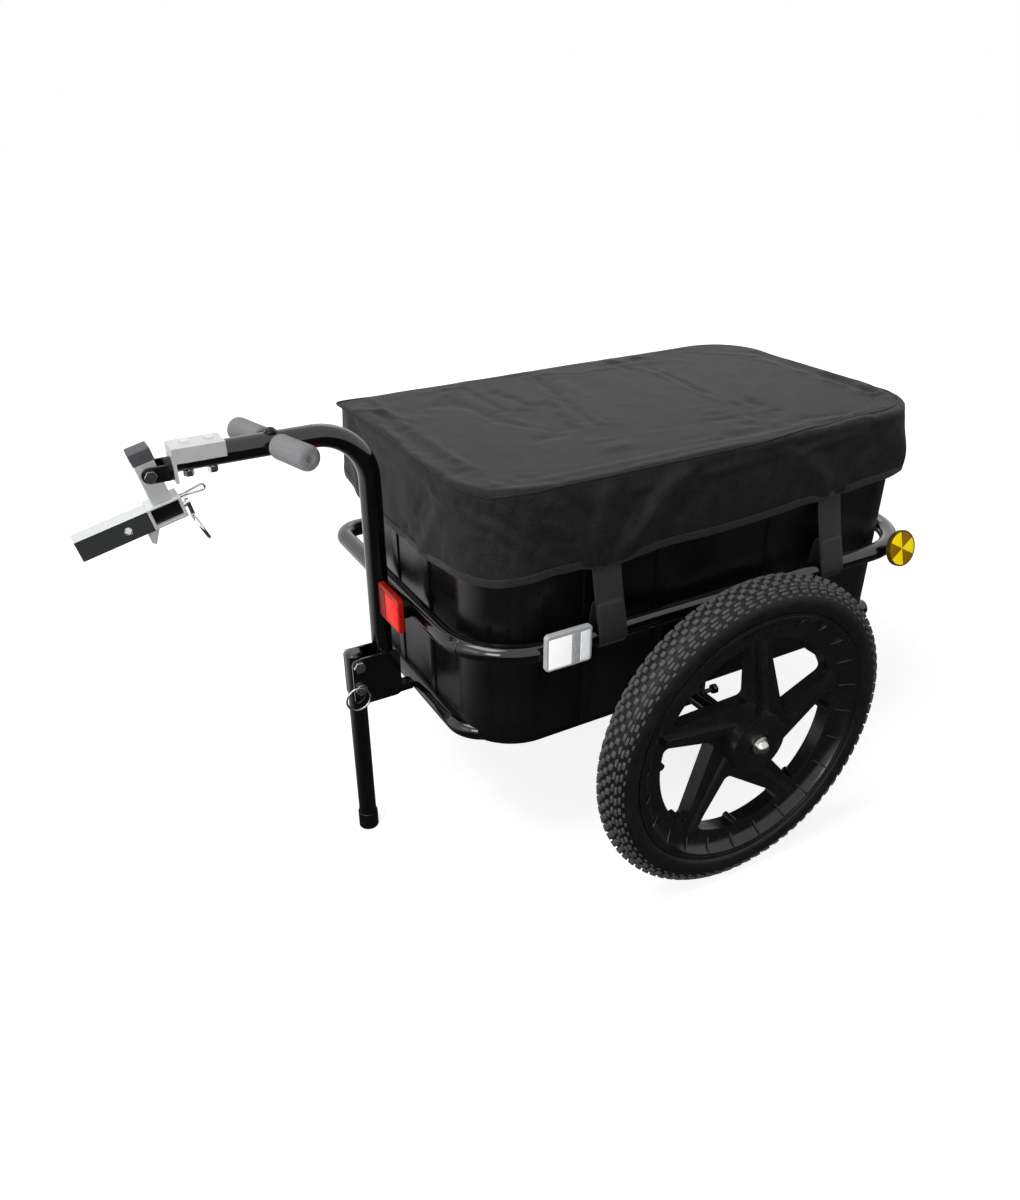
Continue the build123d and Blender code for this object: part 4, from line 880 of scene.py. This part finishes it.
    def seam(self, u: float, v: float) -> Vector:
        """Where the seam between the top and the skirt lies.

        Args:
            u: Place along X, from minus one to one.
            v: Place along Y; u or v is at its end.

        Returns:
            The seam's point: drawn in towards the rear, with spare cloth that rolls over the
            rim at the front left corner, and a sharp front right corner that stands out past it.
        """
        place = self.outline(u, v, self.seam_out, self.corners)
        along = (place.x - self.axle) * 1000
        if v > 0:
            place.y -= mm(self.left_draw) * smooth_step(-20, -240, along) * smooth_step(0.0, 0.9, v)
        else:
            place.y -= mm(self.right_draw) * smooth_step(200, -100, along) * smooth_step(0.0, 0.9, -v)
        rolled = math.hypot(along - self.roll[0], place.y * 1000 - self.roll[1])
        place.z -= mm(self.roll_drop) * hump(rolled, self.roll_reach)
        away = math.hypot(along - self.point[0], place.y * 1000 - self.point[1])
        place.x += mm(self.point_out) * hump(away, self.point_reach)
        return place

    def cut(self) -> tuple[bmesh.types.BMesh, list[int], list[int]]:
        """Makes the top panel and the skirt below it.

        Returns:
            The mesh, the vertex numbers round the top's edge and those round the hem.
        """
        bm = bmesh.new()
        columns = round((self.high.x - self.low.x) / mm(self.cell))
        rows = round((self.high.y - self.low.y) / mm(self.cell))
        bmesh.ops.create_grid(bm, x_segments=columns, y_segments=rows, size=1.0)
        middle = (self.low + self.high) / 2
        places = {}
        for vert in bm.verts:
            u, v = vert.co.x, vert.co.y
            reach = max(abs(u), abs(v))
            if reach > 0.999:
                places[vert] = (u, v)
            vert.co = self.top_point(u, v, reach, middle)
        loops = bm.loops.layers.uv.new("cloth")
        for face in bm.faces:
            for loop in face.loops:
                loop[loops].uv = (loop.vert.co.x, loop.vert.co.y)
        border = [edge for edge in bm.edges if edge.is_boundary]
        rings = [self.ordered(border)]
        turns = [places[vert] for vert in rings[0]]
        count = round(self.skirt / self.cell)
        for _ in range(count):
            made = bmesh.ops.extrude_edge_only(bm, edges=border)["geom"]
            fresh = [g for g in made if isinstance(g, bmesh.types.BMVert)]
            border = [g for g in made if isinstance(g, bmesh.types.BMEdge) and g.is_boundary]
            bmesh.ops.translate(bm, verts=fresh, vec=(0, 0, -mm(self.skirt) / count))
            rings.append(self.ordered(border))
        self.map_skirt(bm, loops, rings)
        self.hang(rings, turns)
        bmesh.ops.recalc_face_normals(bm, faces=bm.faces)
        bm.verts.index_update()
        # The simulation's result hangs on the order of edges and faces, so that order is fixed.
        for items in (bm.edges, bm.faces):
            ranked = sorted(items, key=lambda item: [
                round(c, 5) for v in sorted(item.verts, key=lambda v: v.index) for c in v.co])
            ranks = {item: rank for rank, item in enumerate(ranked)}
            items.sort(key=ranks.get, reverse=True)
        return bm, [v.index for v in rings[0]], [v.index for v in rings[-1]]

    def top_point(self, u: float, v: float, reach: float, middle: Vector) -> Vector:
        """Place of one point of the top panel, with its folds and its slight sag.

        Args:
            u: Place along X, from minus one to one.
            v: Place along Y, from minus one to one.
            reach: The larger of the two, without its sign.
            middle: The middle of the tub.

        Returns:
            The point.
        """
        if reach < 1e-6:
            return Vector((middle.x, middle.y, self.top - mm(3)))
        edge = self.seam(u / reach, v / reach)
        half = Vector(((self.high.x - self.low.x) / 2, (self.high.y - self.low.y) / 2))
        plain = Vector((middle.x + u * half.x, middle.y + v * half.y, edge.z))
        centre = Vector((middle.x, middle.y, edge.z))
        point = plain.lerp(centre.lerp(edge, reach), reach ** 5)
        inside = smooth_step(1.0, 0.78, reach)
        point.z = edge.z + (self.top - edge.z) * inside
        along, across = (point.x - self.axle) * 1000, point.y * 1000
        folds = sum(fold.at(along, across) for fold in self.top_folds)
        soft = noise.noise(Vector((point.x * 7, point.y * 9, 0.3))) * 2.4
        soft += noise.noise(Vector((point.x * 22, point.y * 30, 2.3))) * 0.9
        point.z += mm((folds + soft - 2.4 + 1.2 * reach) * smooth_step(1.0, 0.86, reach))
        return point

    def hang(self, rings: Sequence[Sequence[bmesh.types.BMVert]],
             turns: Sequence[tuple[float, float]]) -> None:
        """Hangs the skirt from the seam over the rim's edge, with its folds.

        Args:
            rings: The skirt's rings of vertices, from the seam to the hem.
            turns: Each column's place on the unit square's edge.
        """
        rim = (self.rim_corner,) * 4
        sharp = self.rim_corner, self.rim_corner, self.rim_corner, self.corners[3] + 10
        for column, (u, v) in enumerate(turns):
            start = rings[0][column].co.copy()
            edge = self.outline(u, v, self.rim_out, sharp if u > 0 > v else rim)
            edge.z = min(start.z, self.top - mm(0.6))
            foot = self.outline(u, v, self.hem_out, sharp if u > 0 > v else rim)
            along, across = (foot.x - self.axle) * 1000, foot.y * 1000
            out = Vector((foot.x - edge.x, foot.y - edge.y, 0)).normalized()
            spare = max(0.0, (Vector((edge.x - start.x, edge.y - start.y, 0))).length)
            length = mm(self.skirt + self.extra(along, across))
            foot.z = edge.z - (length - spare)
            for depth, ring in enumerate(rings[1:], 1):
                travelled = length * depth / (len(rings) - 1)
                if travelled < spare:
                    point = start.lerp(edge, travelled / spare)
                else:
                    point = edge.lerp(foot, (travelled - spare) / (length - spare))
                share = depth / (len(rings) - 1)
                ring[column].co = point + out * mm(self.fold(along, across, point.z * 1000, share))

    def extra(self, along: float, across: float) -> float:
        """How much longer the skirt hangs here than at its shortest, in millimetres."""
        wave = 2.5 * noise.noise(Vector((along * 0.012, across * 0.012, 4.0)))
        front = self.front_drop * smooth_step(240, 290, along) * smooth_step(150, 70, abs(across))
        pulled = sum(self.strap_pull * hump(along - place, self.strap_reach) for place in self.strap_places)
        return wave + front + pulled * smooth_step(150, 180, abs(across))

    def fold(self, along: float, across: float, height: float, share: float) -> float:
        """How far the skirt stands out or in at a point, in millimetres."""
        slow = noise.noise(Vector((along * 0.011, across * 0.011, height * 0.006)))
        quick = noise.noise(Vector((along * 0.03, across * 0.03, height * 0.01 + 5)))
        bend = (2.6 * slow + 1.8 * quick) * smooth_step(0.0, 0.5, share)
        if across > 100:
            bend += sum(fold.at(along, height) for fold in self.left_folds)
        elif across < -100:
            bend += sum(fold.at(along - 12, height) for fold in self.left_folds[3:])
        if along > 200:
            bend += sum(fold.at(across, height) for fold in self.front_folds)
        return bend * smooth_step(0.02, 0.16, share)

    def ordered(self, border: Sequence[bmesh.types.BMEdge]) -> list[bmesh.types.BMVert]:
        """Puts a border's vertices in order.

        Args:
            border: The edges of one closed border.

        Returns:
            Its vertices, from the one nearest the front's middle, towards the left.
        """
        around = dict.fromkeys(v for edge in border for v in edge.verts)
        first = max(around, key=lambda v: (round(v.co.x, 3), -abs(v.co.y)))
        inside = set(border)
        path, last = [first], None
        while True:
            steps = [e for e in path[-1].link_edges if e in inside and e is not last]
            if last is None:
                steps.sort(key=lambda e: -e.other_vert(first).co.y)
            last = steps[0]
            following = last.other_vert(path[-1])
            if following is first:
                return path
            path.append(following)

    def map_skirt(self, bm: bmesh.types.BMesh, loops: bmesh.types.BMLayerItem,
                  rings: Sequence[Sequence[bmesh.types.BMVert]]) -> None:
        """Lays the skirt's part of the cloth map: along the hem and down.

        Args:
            bm: The cloth.
            loops: Its map.
            rings: The skirt's rings of vertices, from the seam to the hem.
        """
        top = rings[0]
        along = [0.0]
        for here, following in zip(top, top[1:] + top[:1]):
            along.append(along[-1] + (following.co - here.co).length)
        place = {}
        for depth, ring in enumerate(rings):
            for number, vert in enumerate(ring):
                place[vert] = (number, -mm(self.skirt) * depth / (len(rings) - 1))
        for face in bm.faces:
            if all(v in place for v in face.verts) and min(place[v][1] for v in face.verts) < 0:
                numbers = [place[loop.vert][0] for loop in face.loops]
                wraps = max(numbers) - min(numbers) > 1
                for loop, number in zip(face.loops, numbers):
                    turn = along[-1] if wraps and number == 0 else along[number]
                    loop[loops].uv = (turn, place[loop.vert][1])

    def drape(self, piece: bpy.types.Object, edge: Sequence[int], hem: Sequence[int]) -> None:
        """Lets the cloth settle on the tub's rim, then keeps its settled shape.

        Args:
            piece: The cloth as it was laid out.
            edge: Vertex numbers round the top's edge.
            hem: Vertex numbers round the hem.
        """
        hard = self.rest()
        held = piece.vertex_groups.new(name="held")
        held.add(range(len(piece.data.vertices)), self.hold_top, "REPLACE")
        skirt = [v.index for v in piece.data.vertices if v.co.z < self.top - mm(self.skirt_below)]
        held.add(skirt, self.hold_skirt, "REPLACE")
        held.add(list(edge), self.hold_seam, "REPLACE")
        corner = Vector((self.high.x, self.low.y, self.top))
        tight = [v.index for v in piece.data.vertices if (v.co - corner).length < mm(self.tight_corner)]
        for place in self.strap_places:
            tight += [i for i in hem if abs(abs(piece.data.vertices[i].co.y) - self.high.y) < mm(12)
                      and abs((piece.data.vertices[i].co.x - self.axle) * 1000 - place) < self.tight_strap]
        held.add(tight, 1.0, "REPLACE")
        cloth = piece.modifiers.new("cloth", "CLOTH")
        cloth.settings.quality = 6
        cloth.settings.mass = 0.15
        cloth.settings.tension_stiffness = 18
        cloth.settings.compression_stiffness = 12
        cloth.settings.shear_stiffness = 6
        cloth.settings.bending_stiffness = 0.4
        cloth.settings.tension_damping = 8
        cloth.settings.bending_damping = 1.0
        cloth.settings.air_damping = 2.0
        cloth.settings.vertex_group_mass = "held"
        cloth.settings.pin_stiffness = 0.8
        cloth.collision_settings.distance_min = mm(0.8)
        cloth.collision_settings.collision_quality = 3
        cloth.point_cache.frame_start = 1
        cloth.point_cache.frame_end = self.frames
        scene = bpy.context.scene
        for step in range(1, self.frames + 1):
            scene.frame_set(step)
        settled = piece.evaluated_get(bpy.context.evaluated_depsgraph_get()).to_mesh()
        places = [v.co.copy() for v in settled.vertices]
        piece.modifiers.clear()
        piece.vertex_groups.clear()
        for vert, place in zip(piece.data.vertices, places):
            vert.co = place
        bpy.data.objects.remove(hard)
        scene.frame_set(1)

    def rest(self) -> bpy.types.Object:
        """A closed ring in the place of the tub's rim and the straps' tops, for the drape alone."""
        bm = bmesh.new()
        levels = ((0.0, 0.0), (0.3, -14.0), (2.0, -70.0), (2.4, -130.0), (-24.0, -130.0), (-22.0, 0.0))
        sides = 44
        middle = (self.low + self.high) / 2
        half_length, half_width = (self.high.x - self.low.x) / 2, (self.high.y - self.low.y) / 2
        corner = mm(self.rim_corner)
        rings = []
        for grow, lift in levels:
            start = Matrix.Rotation(TAU / sides / 2, 4, "Z")
            made = bmesh.ops.create_circle(bm, segments=sides, radius=corner + mm(grow),
                                           matrix=start)["verts"]
            for vert in made:
                vert.co += Vector((middle.x + math.copysign(half_length - corner, vert.co.x),
                                   middle.y + math.copysign(half_width - corner, vert.co.y),
                                   self.high.z + mm(lift)))
            rings.append(edges_of(made))
        for upper, lower in zip(rings, rings[1:] + rings[:1]):
            bmesh.ops.bridge_loops(bm, edges=list(dict.fromkeys(upper + lower)))
        bmesh.ops.recalc_face_normals(bm, faces=bm.faces)
        hard = placed("rest", meshed(bm, "rest"))
        hard.modifiers.new("collision", "COLLISION")
        hard.collision.thickness_outer = mm(0.8)
        hard.collision.thickness_inner = mm(4)
        hard.collision.cloth_friction = 8
        return hard

    def trim(self, piece: bpy.types.Object, ring: Sequence[int], name: str, radius: float,
             height: float) -> bpy.types.Object:
        """Sews a cord or a folded strip along a ring of the cloth.

        Args:
            piece: The draped cloth.
            ring: Vertex numbers that it follows.
            name: The trim's name.
            radius: Half of its thickness in millimetres.
            height: Its straight part's height in millimetres; none for a cord.

        Returns:
            The trim's piece.
        """
        shown = piece.evaluated_get(bpy.context.evaluated_depsgraph_get()).to_mesh()
        points = [shown.vertices[i].co.copy() for i in ring]
        middle = sum(points, Vector()) / len(points)
        sides = 10
        bm = bmesh.new()
        loops = bm.loops.layers.uv.new("cloth")
        places, edges, travelled = {}, [], 0.0
        for number, point in enumerate(points):
            before, after = points[number - 1], points[(number + 1) % len(points)]
            along = (after - before).normalized()
            out = along.cross(Vector((0, 0, 1))).normalized()
            if out.dot(point - middle) < 0:
                out.negate()
            up = Vector((0, 0, 1))
            turn = Matrix((out, up, out.cross(up))).transposed().to_4x4()
            start = Matrix.Rotation(TAU / sides / 2, 4, "Z")
            made = bmesh.ops.create_circle(bm, segments=sides, radius=mm(radius), matrix=start)["verts"]
            for k, vert in enumerate(made):
                vert.co.y += mm(height if vert.co.y > 0 else 0)
                places[vert] = (number, travelled, mm(k * (radius * 0.63 + height * 0.2)))
            bmesh.ops.transform(bm, matrix=Matrix.Translation(point + out * mm(0.2)) @ turn, verts=made)
            edges.append(edges_of(made))
            travelled += (after - point).length
        for here, following in zip(edges, edges[1:] + edges[:1]):
            bmesh.ops.bridge_loops(bm, edges=list(dict.fromkeys(here + following)))
        for face in bm.faces:
            wraps = max(places[v][0] for v in face.verts) - min(places[v][0] for v in face.verts) > 1
            for loop in face.loops:
                number, turn, across = places[loop.vert]
                loop[loops].uv = (travelled if wraps and number == 0 else turn, across)
        bmesh.ops.recalc_face_normals(bm, faces=bm.faces)
        finish = COVER_BINDING if height else COVER_CLOTH
        trim = as_piece(bm, name, finish, "cover", crease=75)
        smoothed(trim)
        return trim

    def finish(self, piece: bpy.types.Object, trims: Sequence[bpy.types.Object]) -> None:
        """Args:
            piece: The draped cloth.
            trims: Its piping and its bound hem; not used.
        """
        piece.data.shade_smooth()
        piece.data.materials.append(COVER_CLOTH.material())
        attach(piece, "cover")
        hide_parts("cover")


@dataclass
class Straps:
    """Webbing straps from inside the skirt, round the loop's tube and back on themselves."""

    width: float = 38.0
    thickness: float = 1.3
    doubled: float = 42.0
    # Degrees between two points of the bend round the tube.
    step: float = 15.5
    # Air between strap and tube, the start's place behind the skirt and the bend's start below
    # its hem, the air between the two layers, and how much narrower the doubled end is.
    clearance: float = 0.3
    behind_skirt: float = 4.6
    below_hem: float = 3.0
    slack: float = 0.15
    narrower: float = 0.6

    def build(self) -> None:
        """Makes the four straps, each with its doubled end."""
        for side in Side:
            for place in ("front", "rear"):
                self.make(f"strap_{side.word}_{place}", side.sign)

    def make(self, node: str, side: int) -> None:
        """Bends one strap and its doubled end.

        Args:
            node: The solid it stands for.
            side: One on the left, minus one on the right.
        """
        upper_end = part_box(node)[1].z
        middle = middle_of(node).x
        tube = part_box("frame_loop")
        radius = (tube[1].z - tube[0].z) / 2
        centre = Vector((side * (tube[1].y - radius), (tube[0].z + tube[1].z) / 2))
        gap = radius + mm(self.clearance + self.thickness / 2)
        top_y = side * (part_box("cover")[1].y - mm(self.behind_skirt))
        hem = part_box("cover")[0].z - mm(self.below_hem)
        lean = math.atan2(abs(centre.x + side * gap - top_y), hem - centre.y)
        path = [Vector((top_y, upper_end)), Vector((top_y, hem))]
        for step in range(15):
            turn = lean * 0.9 - math.radians(step * self.step)
            path.append(centre + gap * Vector((side * math.cos(turn), math.sin(turn))))
        path.append(Vector((centre.x - side * (gap - mm(2.5)), centre.y + mm(16))))
        path.append(Vector((top_y + side * mm(4), centre.y + mm(self.doubled))))
        self.ribbon(node + "_webbing", path, middle, [node], 0.0)
        outer = gap + mm(self.thickness + self.slack)
        upper = path[1].lerp(path[2], 1 - mm(self.doubled) / (hem - centre.y))
        fold = [upper + Vector((side * mm(self.thickness + self.slack), 0))]
        for step in range(9):
            turn = lean * 0.9 - math.radians(step * self.step)
            fold.append(centre + outer * Vector((side * math.cos(turn), math.sin(turn))))
        self.ribbon(node + "_doubled", fold, middle, [], mm(self.narrower))

    def ribbon(self, name: str, path: Sequence[Vector], middle: float, replaced: Sequence[str],
               inset: float) -> bpy.types.Object:
        """Turns a path in the Y-Z plane into a strip of webbing.

        Args:
            name: The strip's name.
            path: Points as (y, z) in metres.
            middle: Where its middle line is along X.
            replaced: Solids it stands for.
            inset: How much narrower it is on each side.

        Returns:
            The strip's piece.
        """
        bm = bmesh.new()
        loops = bm.loops.layers.uv.new("cloth")
        half = mm(self.width) / 2 - inset
        row = [bmesh.ops.create_vert(bm, co=(middle - half, path[0].x, path[0].y))["vert"][0]]
        side = []
        for _ in range(6):
            made = bmesh.ops.extrude_vert_indiv(bm, verts=row[-1:])
            bmesh.ops.translate(bm, verts=made["verts"], vec=(half / 3, 0, 0))
            row += made["verts"]
            side += made["edges"]
        turns = {vert: (vert.co.x - middle, 0.0) for vert in row}
        travelled = 0.0
        for here, following in zip(path, path[1:]):
            made = bmesh.ops.extrude_edge_only(bm, edges=side)["geom"]
            fresh = [g for g in made if isinstance(g, bmesh.types.BMVert)]
            side = [g for g in made if isinstance(g, bmesh.types.BMEdge)
                    and all(v in fresh for v in g.verts)]
            bmesh.ops.translate(bm, verts=fresh, vec=(0, following.x - here.x, following.y - here.y))
            travelled += (following - here).length
            turns.update({vert: (vert.co.x - middle, travelled) for vert in fresh})
        for face in bm.faces:
            for loop in face.loops:
                loop[loops].uv = turns[loop.vert]
        bmesh.ops.recalc_face_normals(bm, faces=bm.faces)
        strip = as_piece(bm, name, WEBBING, "chassis", replaced, crease=60)
        thickened(strip, self.thickness, 0.0)
        return strip


# ------------------------------------------------------------------ drawbar and coupling
@dataclass
class Drawbar:
    """Swan-neck tube with its foam grips, clamp bolt and the loop's joint ring."""

    grip_radius: float = 13.5
    bar_radius: float = 8.0
    half_length: float = 78.0
    grip_start: float = 16.5
    tube_radius: float = 12.5
    loop_corner: float = 86.0
    loop_tube: float = 11.0
    # Where the ring lies on the loop's corner, in degrees from straight ahead.
    ring_turn: float = 23.0

    def build(self) -> None:
        """Makes the grips, the clamp bolt and the loop's joint ring."""
        left, right = middle_of("handle_grip_left"), middle_of("handle_grip_right")
        for node, far in (("handle_grip_left", left), ("handle_grip_right", right)):
            near = right if node.endswith("left") else left
            self.make_grip(node, (far - near).normalized(), (left + right) / 2)
        self.make_clamp((left + right) / 2)
        self.make_joint_ring()

    def make_grip(self, node: str, direction: Vector, centre: Vector) -> bpy.types.Object:
        """One foam sleeve with rounded ends and a closed, dimpled tip.

        Args:
            node: The solid it stands for.
            direction: Outward along the handle bar.
            centre: The handle bar's middle.

        Returns:
            The sleeve.
        """
        r, start, end = self.grip_radius, self.grip_start, self.half_length
        profile = [(start + 0.6, self.bar_radius + 0.05), (start, r - 3.2), (start + 0.5, r - 1.5),
                   (start + 1.8, r - 0.4), (start + 4, r), (start + 20, r - 0.15), (end - 24, r - 0.1),
                   (end - 7, r), (end - 4, r - 0.4), (end - 1.8, r - 1.7), (end - 0.5, r - 3.8),
                   (end, r - 6.5), (end, 4.2), (end - 0.5, 3.5), (end - 1.6, 3.2), (end - 1.9, 2.4),
                   (end - 2.0, 0.0)]
        bm = spun(profile, 48)
        turn = Vector((0, 1, 0)).rotation_difference(direction).to_matrix().to_4x4()
        bmesh.ops.transform(bm, matrix=Matrix.Translation(centre) @ turn, verts=bm.verts)
        return as_piece(bm, node + "_sleeve", GRIP_FOAM, "chassis", [node], crease=60)

    def make_clamp(self, centre: Vector) -> bpy.types.Object:
        """Washer and domed bolt head on top of the drawbar, where the handle bar is clamped."""
        r = self.tube_radius
        bm = spun([(r - 1.5, 0.0), (r - 1.5, 7.0), (r + 0.6, 7.0), (r + 1.0, 6.6), (r + 1.0, 5.2),
                   (r + 2.4, 5.0), (r + 3.8, 3.8), (r + 4.6, 2.0), (r + 4.8, 0.0)], 32)
        upright = Matrix.Rotation(math.radians(90), 4, "X")
        bmesh.ops.transform(bm, matrix=Matrix.Translation(centre) @ upright, verts=bm.verts)
        return as_piece(bm, "handle_clamp_bolt", DARK_STEEL, "chassis")

    def make_joint_ring(self) -> bpy.types.Object:
        """Raised ring where the loop's two halves are pushed together, at its front left corner."""
        low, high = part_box("frame_loop")
        reach = mm(self.loop_corner)
        tube = mm(self.loop_tube)
        turn = math.radians(self.ring_turn)
        place = Vector((high.x - tube - reach + reach * math.cos(turn),
                        high.y - tube - reach + reach * math.sin(turn), (low.z + high.z) / 2))
        r = self.loop_tube
        bm = spun([(-1.6, r - 0.4), (-1.3, r + 0.5), (0.0, r + 0.8), (1.3, r + 0.5), (1.6, r - 0.4)], 40)
        matrix = Matrix.Translation(place) @ Matrix.Rotation(turn, 4, "Z")
        bmesh.ops.transform(bm, matrix=matrix, verts=bm.verts)
        return as_piece(bm, "frame_loop_joint_ring", POWDER_COAT, "chassis")


# ------------------------------------------------------------------ reflectors
@dataclass
class Reflectors:
    """The clear, the red and the round amber reflector, each with its facets."""

    relief: float = 0.5
    tilt: float = 16.0
    thickness: float = 7.0
    lens_depth: float = 0.9

    def build(self) -> None:
        """Makes the three reflectors."""
        self.make_side()
        self.make_front()
        self.make_round()

    def slab(self, name: str, low: Vector, high: Vector, finish: Finish) -> bpy.types.Object:
        """One moulded lens field with rounded edges between two corners."""
        bm = bmesh.new()
        rounded_box(bm, (high - low) * 1000, Matrix.Translation((low + high) / 2), 0.5, 3)
        return as_piece(bm, name, finish, "chassis", crease=50)

    def make_side(self) -> None:
        """Clear reflector: a bezel with a half in painted light, a bar in painted shade, a thin line of
        painted highlight and a mottled end.
        """
        low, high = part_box("reflector_side")
        softened("reflector_side", CLEAR_BEZEL, 1.6, 3)
        face = high.y
        span = high.x - low.x
        # Painted light on the bright half and the thin line, painted shade on the bar.
        zones = (("bright", 0.455, 0.945, CLEAR_PAINTED_LIT), ("bar", 0.275, 0.44, CLEAR_PAINTED_SHADE),
                 ("line", 0.243, 0.262, CLEAR_PAINTED_LIT), ("mottled", 0.06, 0.23, CLEAR_LENS))
        for label, start, end, finish in zones:
            self.slab("reflector_side_" + label,
                      Vector((low.x + span * start, face - mm(1), low.z + mm(3))),
                      Vector((low.x + span * end, face + mm(self.relief), high.z - mm(5))),
                      finish)

    def make_front(self) -> None:
        """Red reflector: a bezel, an end darkened by painted shade and a field brightened by painted light.
        """
        low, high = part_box("reflector_front")
        softened("reflector_front", RED_BEZEL, 1.6, 3)
        face = high.x
        span = high.y - low.y
        # The dark end is painted shade; the bright field is painted light.
        for label, start, end, finish in (("dark", 0.06, 0.34, RED_PAINTED_SHADE), ("bright", 0.36, 0.94, RED_PAINTED_LIT)):
            self.slab("reflector_front_" + label,
                      Vector((face - mm(1), low.y + span * start, low.z + mm(3))),
                      Vector((face + mm(self.relief), low.y + span * end, high.z - mm(6))),
                      finish)

    def make_round(self) -> None:
        """Amber reflector: a dark ring round six sectors, in painted light and painted shade in turn."""
        low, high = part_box("reflector_round")
        r = (high.x - low.x) * 500
        half = self.thickness / 2
        turn = Matrix.Translation((low + high) / 2) @ Matrix.Rotation(math.radians(self.tilt), 4, "X")
        bm = spun([(-half, 0.0), (-half, r - 1.5), (1 - half, r - 0.3), (half - 1.3, r),
                   (half - 0.2, r - 0.4), (half, r - 1.2), (half - 0.3, r - 2.0), (half - 0.9, r - 2.2),
                   (half - 0.9, 0.0)], 72)
        bmesh.ops.transform(bm, matrix=turn, verts=bm.verts)
        as_piece(bm, "reflector_round_shell", AMBER_RIM, "chassis", ["reflector_round"],
                 crease=40)
        for number in range(6):
            # The sectors take painted light and painted shade in turn.
            finish = AMBER_PAINTED_LIT if number % 2 else AMBER_PAINTED_SHADE
            self.make_sector(number, r - 2.3, half - 1.1, turn, finish)

    def make_sector(self, number: int, radius: float, base: float, turn: Matrix,
                    finish: Finish) -> bpy.types.Object:
        """One raised sixth of the round lens.

        Args:
            number: Which sixth it is.
            radius: The lens's radius in millimetres.
            base: Where its back lies along the reflector's own axis.
            turn: The reflector's place and tilt.
            finish: The sector's surface.

        Returns:
            The sector's piece.
        """
        bm = bmesh.new()
        upright = Matrix.Translation((0, mm(base), 0)) @ Matrix.Rotation(math.radians(-90), 4, "X")
        bmesh.ops.create_circle(bm, cap_ends=True, segments=72, radius=mm(radius), matrix=upright)
        for angle, sense in ((60 * number - 30, 1), (60 * number + 30, -1)):
            a = math.radians(angle)
            bmesh.ops.bisect_plane(bm, geom=bm.verts[:] + bm.edges[:] + bm.faces[:], plane_co=(0, 0, 0),
                                   plane_no=(sense * math.sin(a), 0, -sense * math.cos(a)),
                                   clear_outer=True)
        lifted = bmesh.ops.extrude_face_region(bm, geom=bm.faces[:])["geom"]
        bmesh.ops.translate(bm, verts=[g for g in lifted if isinstance(g, bmesh.types.BMVert)],
                            vec=(0, mm(self.lens_depth), 0))
        bmesh.ops.recalc_face_normals(bm, faces=bm.faces)
        front = mm(base + self.lens_depth / 2)
        rim = [e for e in bm.edges if all(v.co.y > front for v in e.verts)]
        bmesh.ops.bevel(bm, geom=rim, offset=mm(0.35), offset_type="OFFSET", segments=2, profile=0.5,
                        affect="EDGES", clamp_overlap=True, material=-1)
        bmesh.ops.transform(bm, matrix=turn, verts=bm.verts)
        return as_piece(bm, f"reflector_round_sector_{number}", finish, "chassis", crease=40)


# ------------------------------------------------------------------ plain dressing
DRESS: dict[str, tuple[Finish, str, float]] = {
    "tub": (TUB_PLASTIC, "tub_plastic", 1.2),
    "hitch_saddle": (NICKEL_PAINTED_REFLECTION, "chrome", 1.0),
    "hitch_saddle_bolts": (CHROME, "chrome", 0.5),
    "hitch_swivel": (DARK_STEEL, "black_steel", 0.6),
    "hitch_cross_bolt": (CHROME, "chrome", 0.5),
    "hitch_post": (NICKEL_PAINTED_REFLECTION, "chrome", 0.8),
    "hitch_post_cap": (GREY_CAP, "grey_plastic", 0.8),
    "hitch_block": (BLACK_ACETAL, "black_plastic", 1.0),
    "hitch_bracket": (NICKEL_PAINTED_REFLECTION, "chrome", 0.7),
    "hitch_bar": (CHROME, "chrome", 1.2),
    "hitch_wing_screw": (CHROME, "chrome", 0.3),
    "hitch_release_pin": (CHROME, "chrome", 0.3),
    "leg_bracket": (POWDER_COAT, "black_paint", 0.8),
    "leg_pivot_bolt": (ZINC, "zinc_steel", 0.5),
    "leg_lock_pin": (ZINC, "zinc_steel", 0.5),
    "leg_foot": (BLACK_ACETAL, "black_plastic", 0.8),
    "leg_tube": (POWDER_COAT, "black_paint", 2.5),
    "reflector_side_clip": (BLACK_ACETAL, "black_plastic", 0.5),
    "reflector_front_bracket": (BLACK_ACETAL, "black_plastic", 0.5),
    "reflector_round_bracket": (BLACK_ACETAL, "black_plastic", 0.5),
    "frame_joint": (POWDER_COAT, "black_paint", 0.8),
}
PAINTED = ("frame_loop", "frame_rails", "axle", "frame_strut_left", "frame_strut_right", "drawbar",
           "handle_bar")


def dress_solids() -> None:
    """Rounds and finishes the solids whose shape is already right."""
    for node, (finish, slot, edge) in DRESS.items():
        softened(node, finish, edge)
    for node, finish in [*((node, POWDER_COAT) for node in PAINTED), ("leg_pin_clip", ZINC)]:
        solid = frame["nodes"][node]
        solid.data.materials.clear()
        solid.data.materials.append(finish.material())


def main() -> None:
    """Builds every sub-assembly in order."""
    logging.basicConfig(level=logging.INFO, format="%(name)s %(message)s")
    Stage().build()
    for side in Side:
        Wheel(side).build()
    dress_solids()
    Cover().build()
    Straps().build()
    Drawbar().build()
    Reflectors().build()


if __name__ == "__main__":
    main()
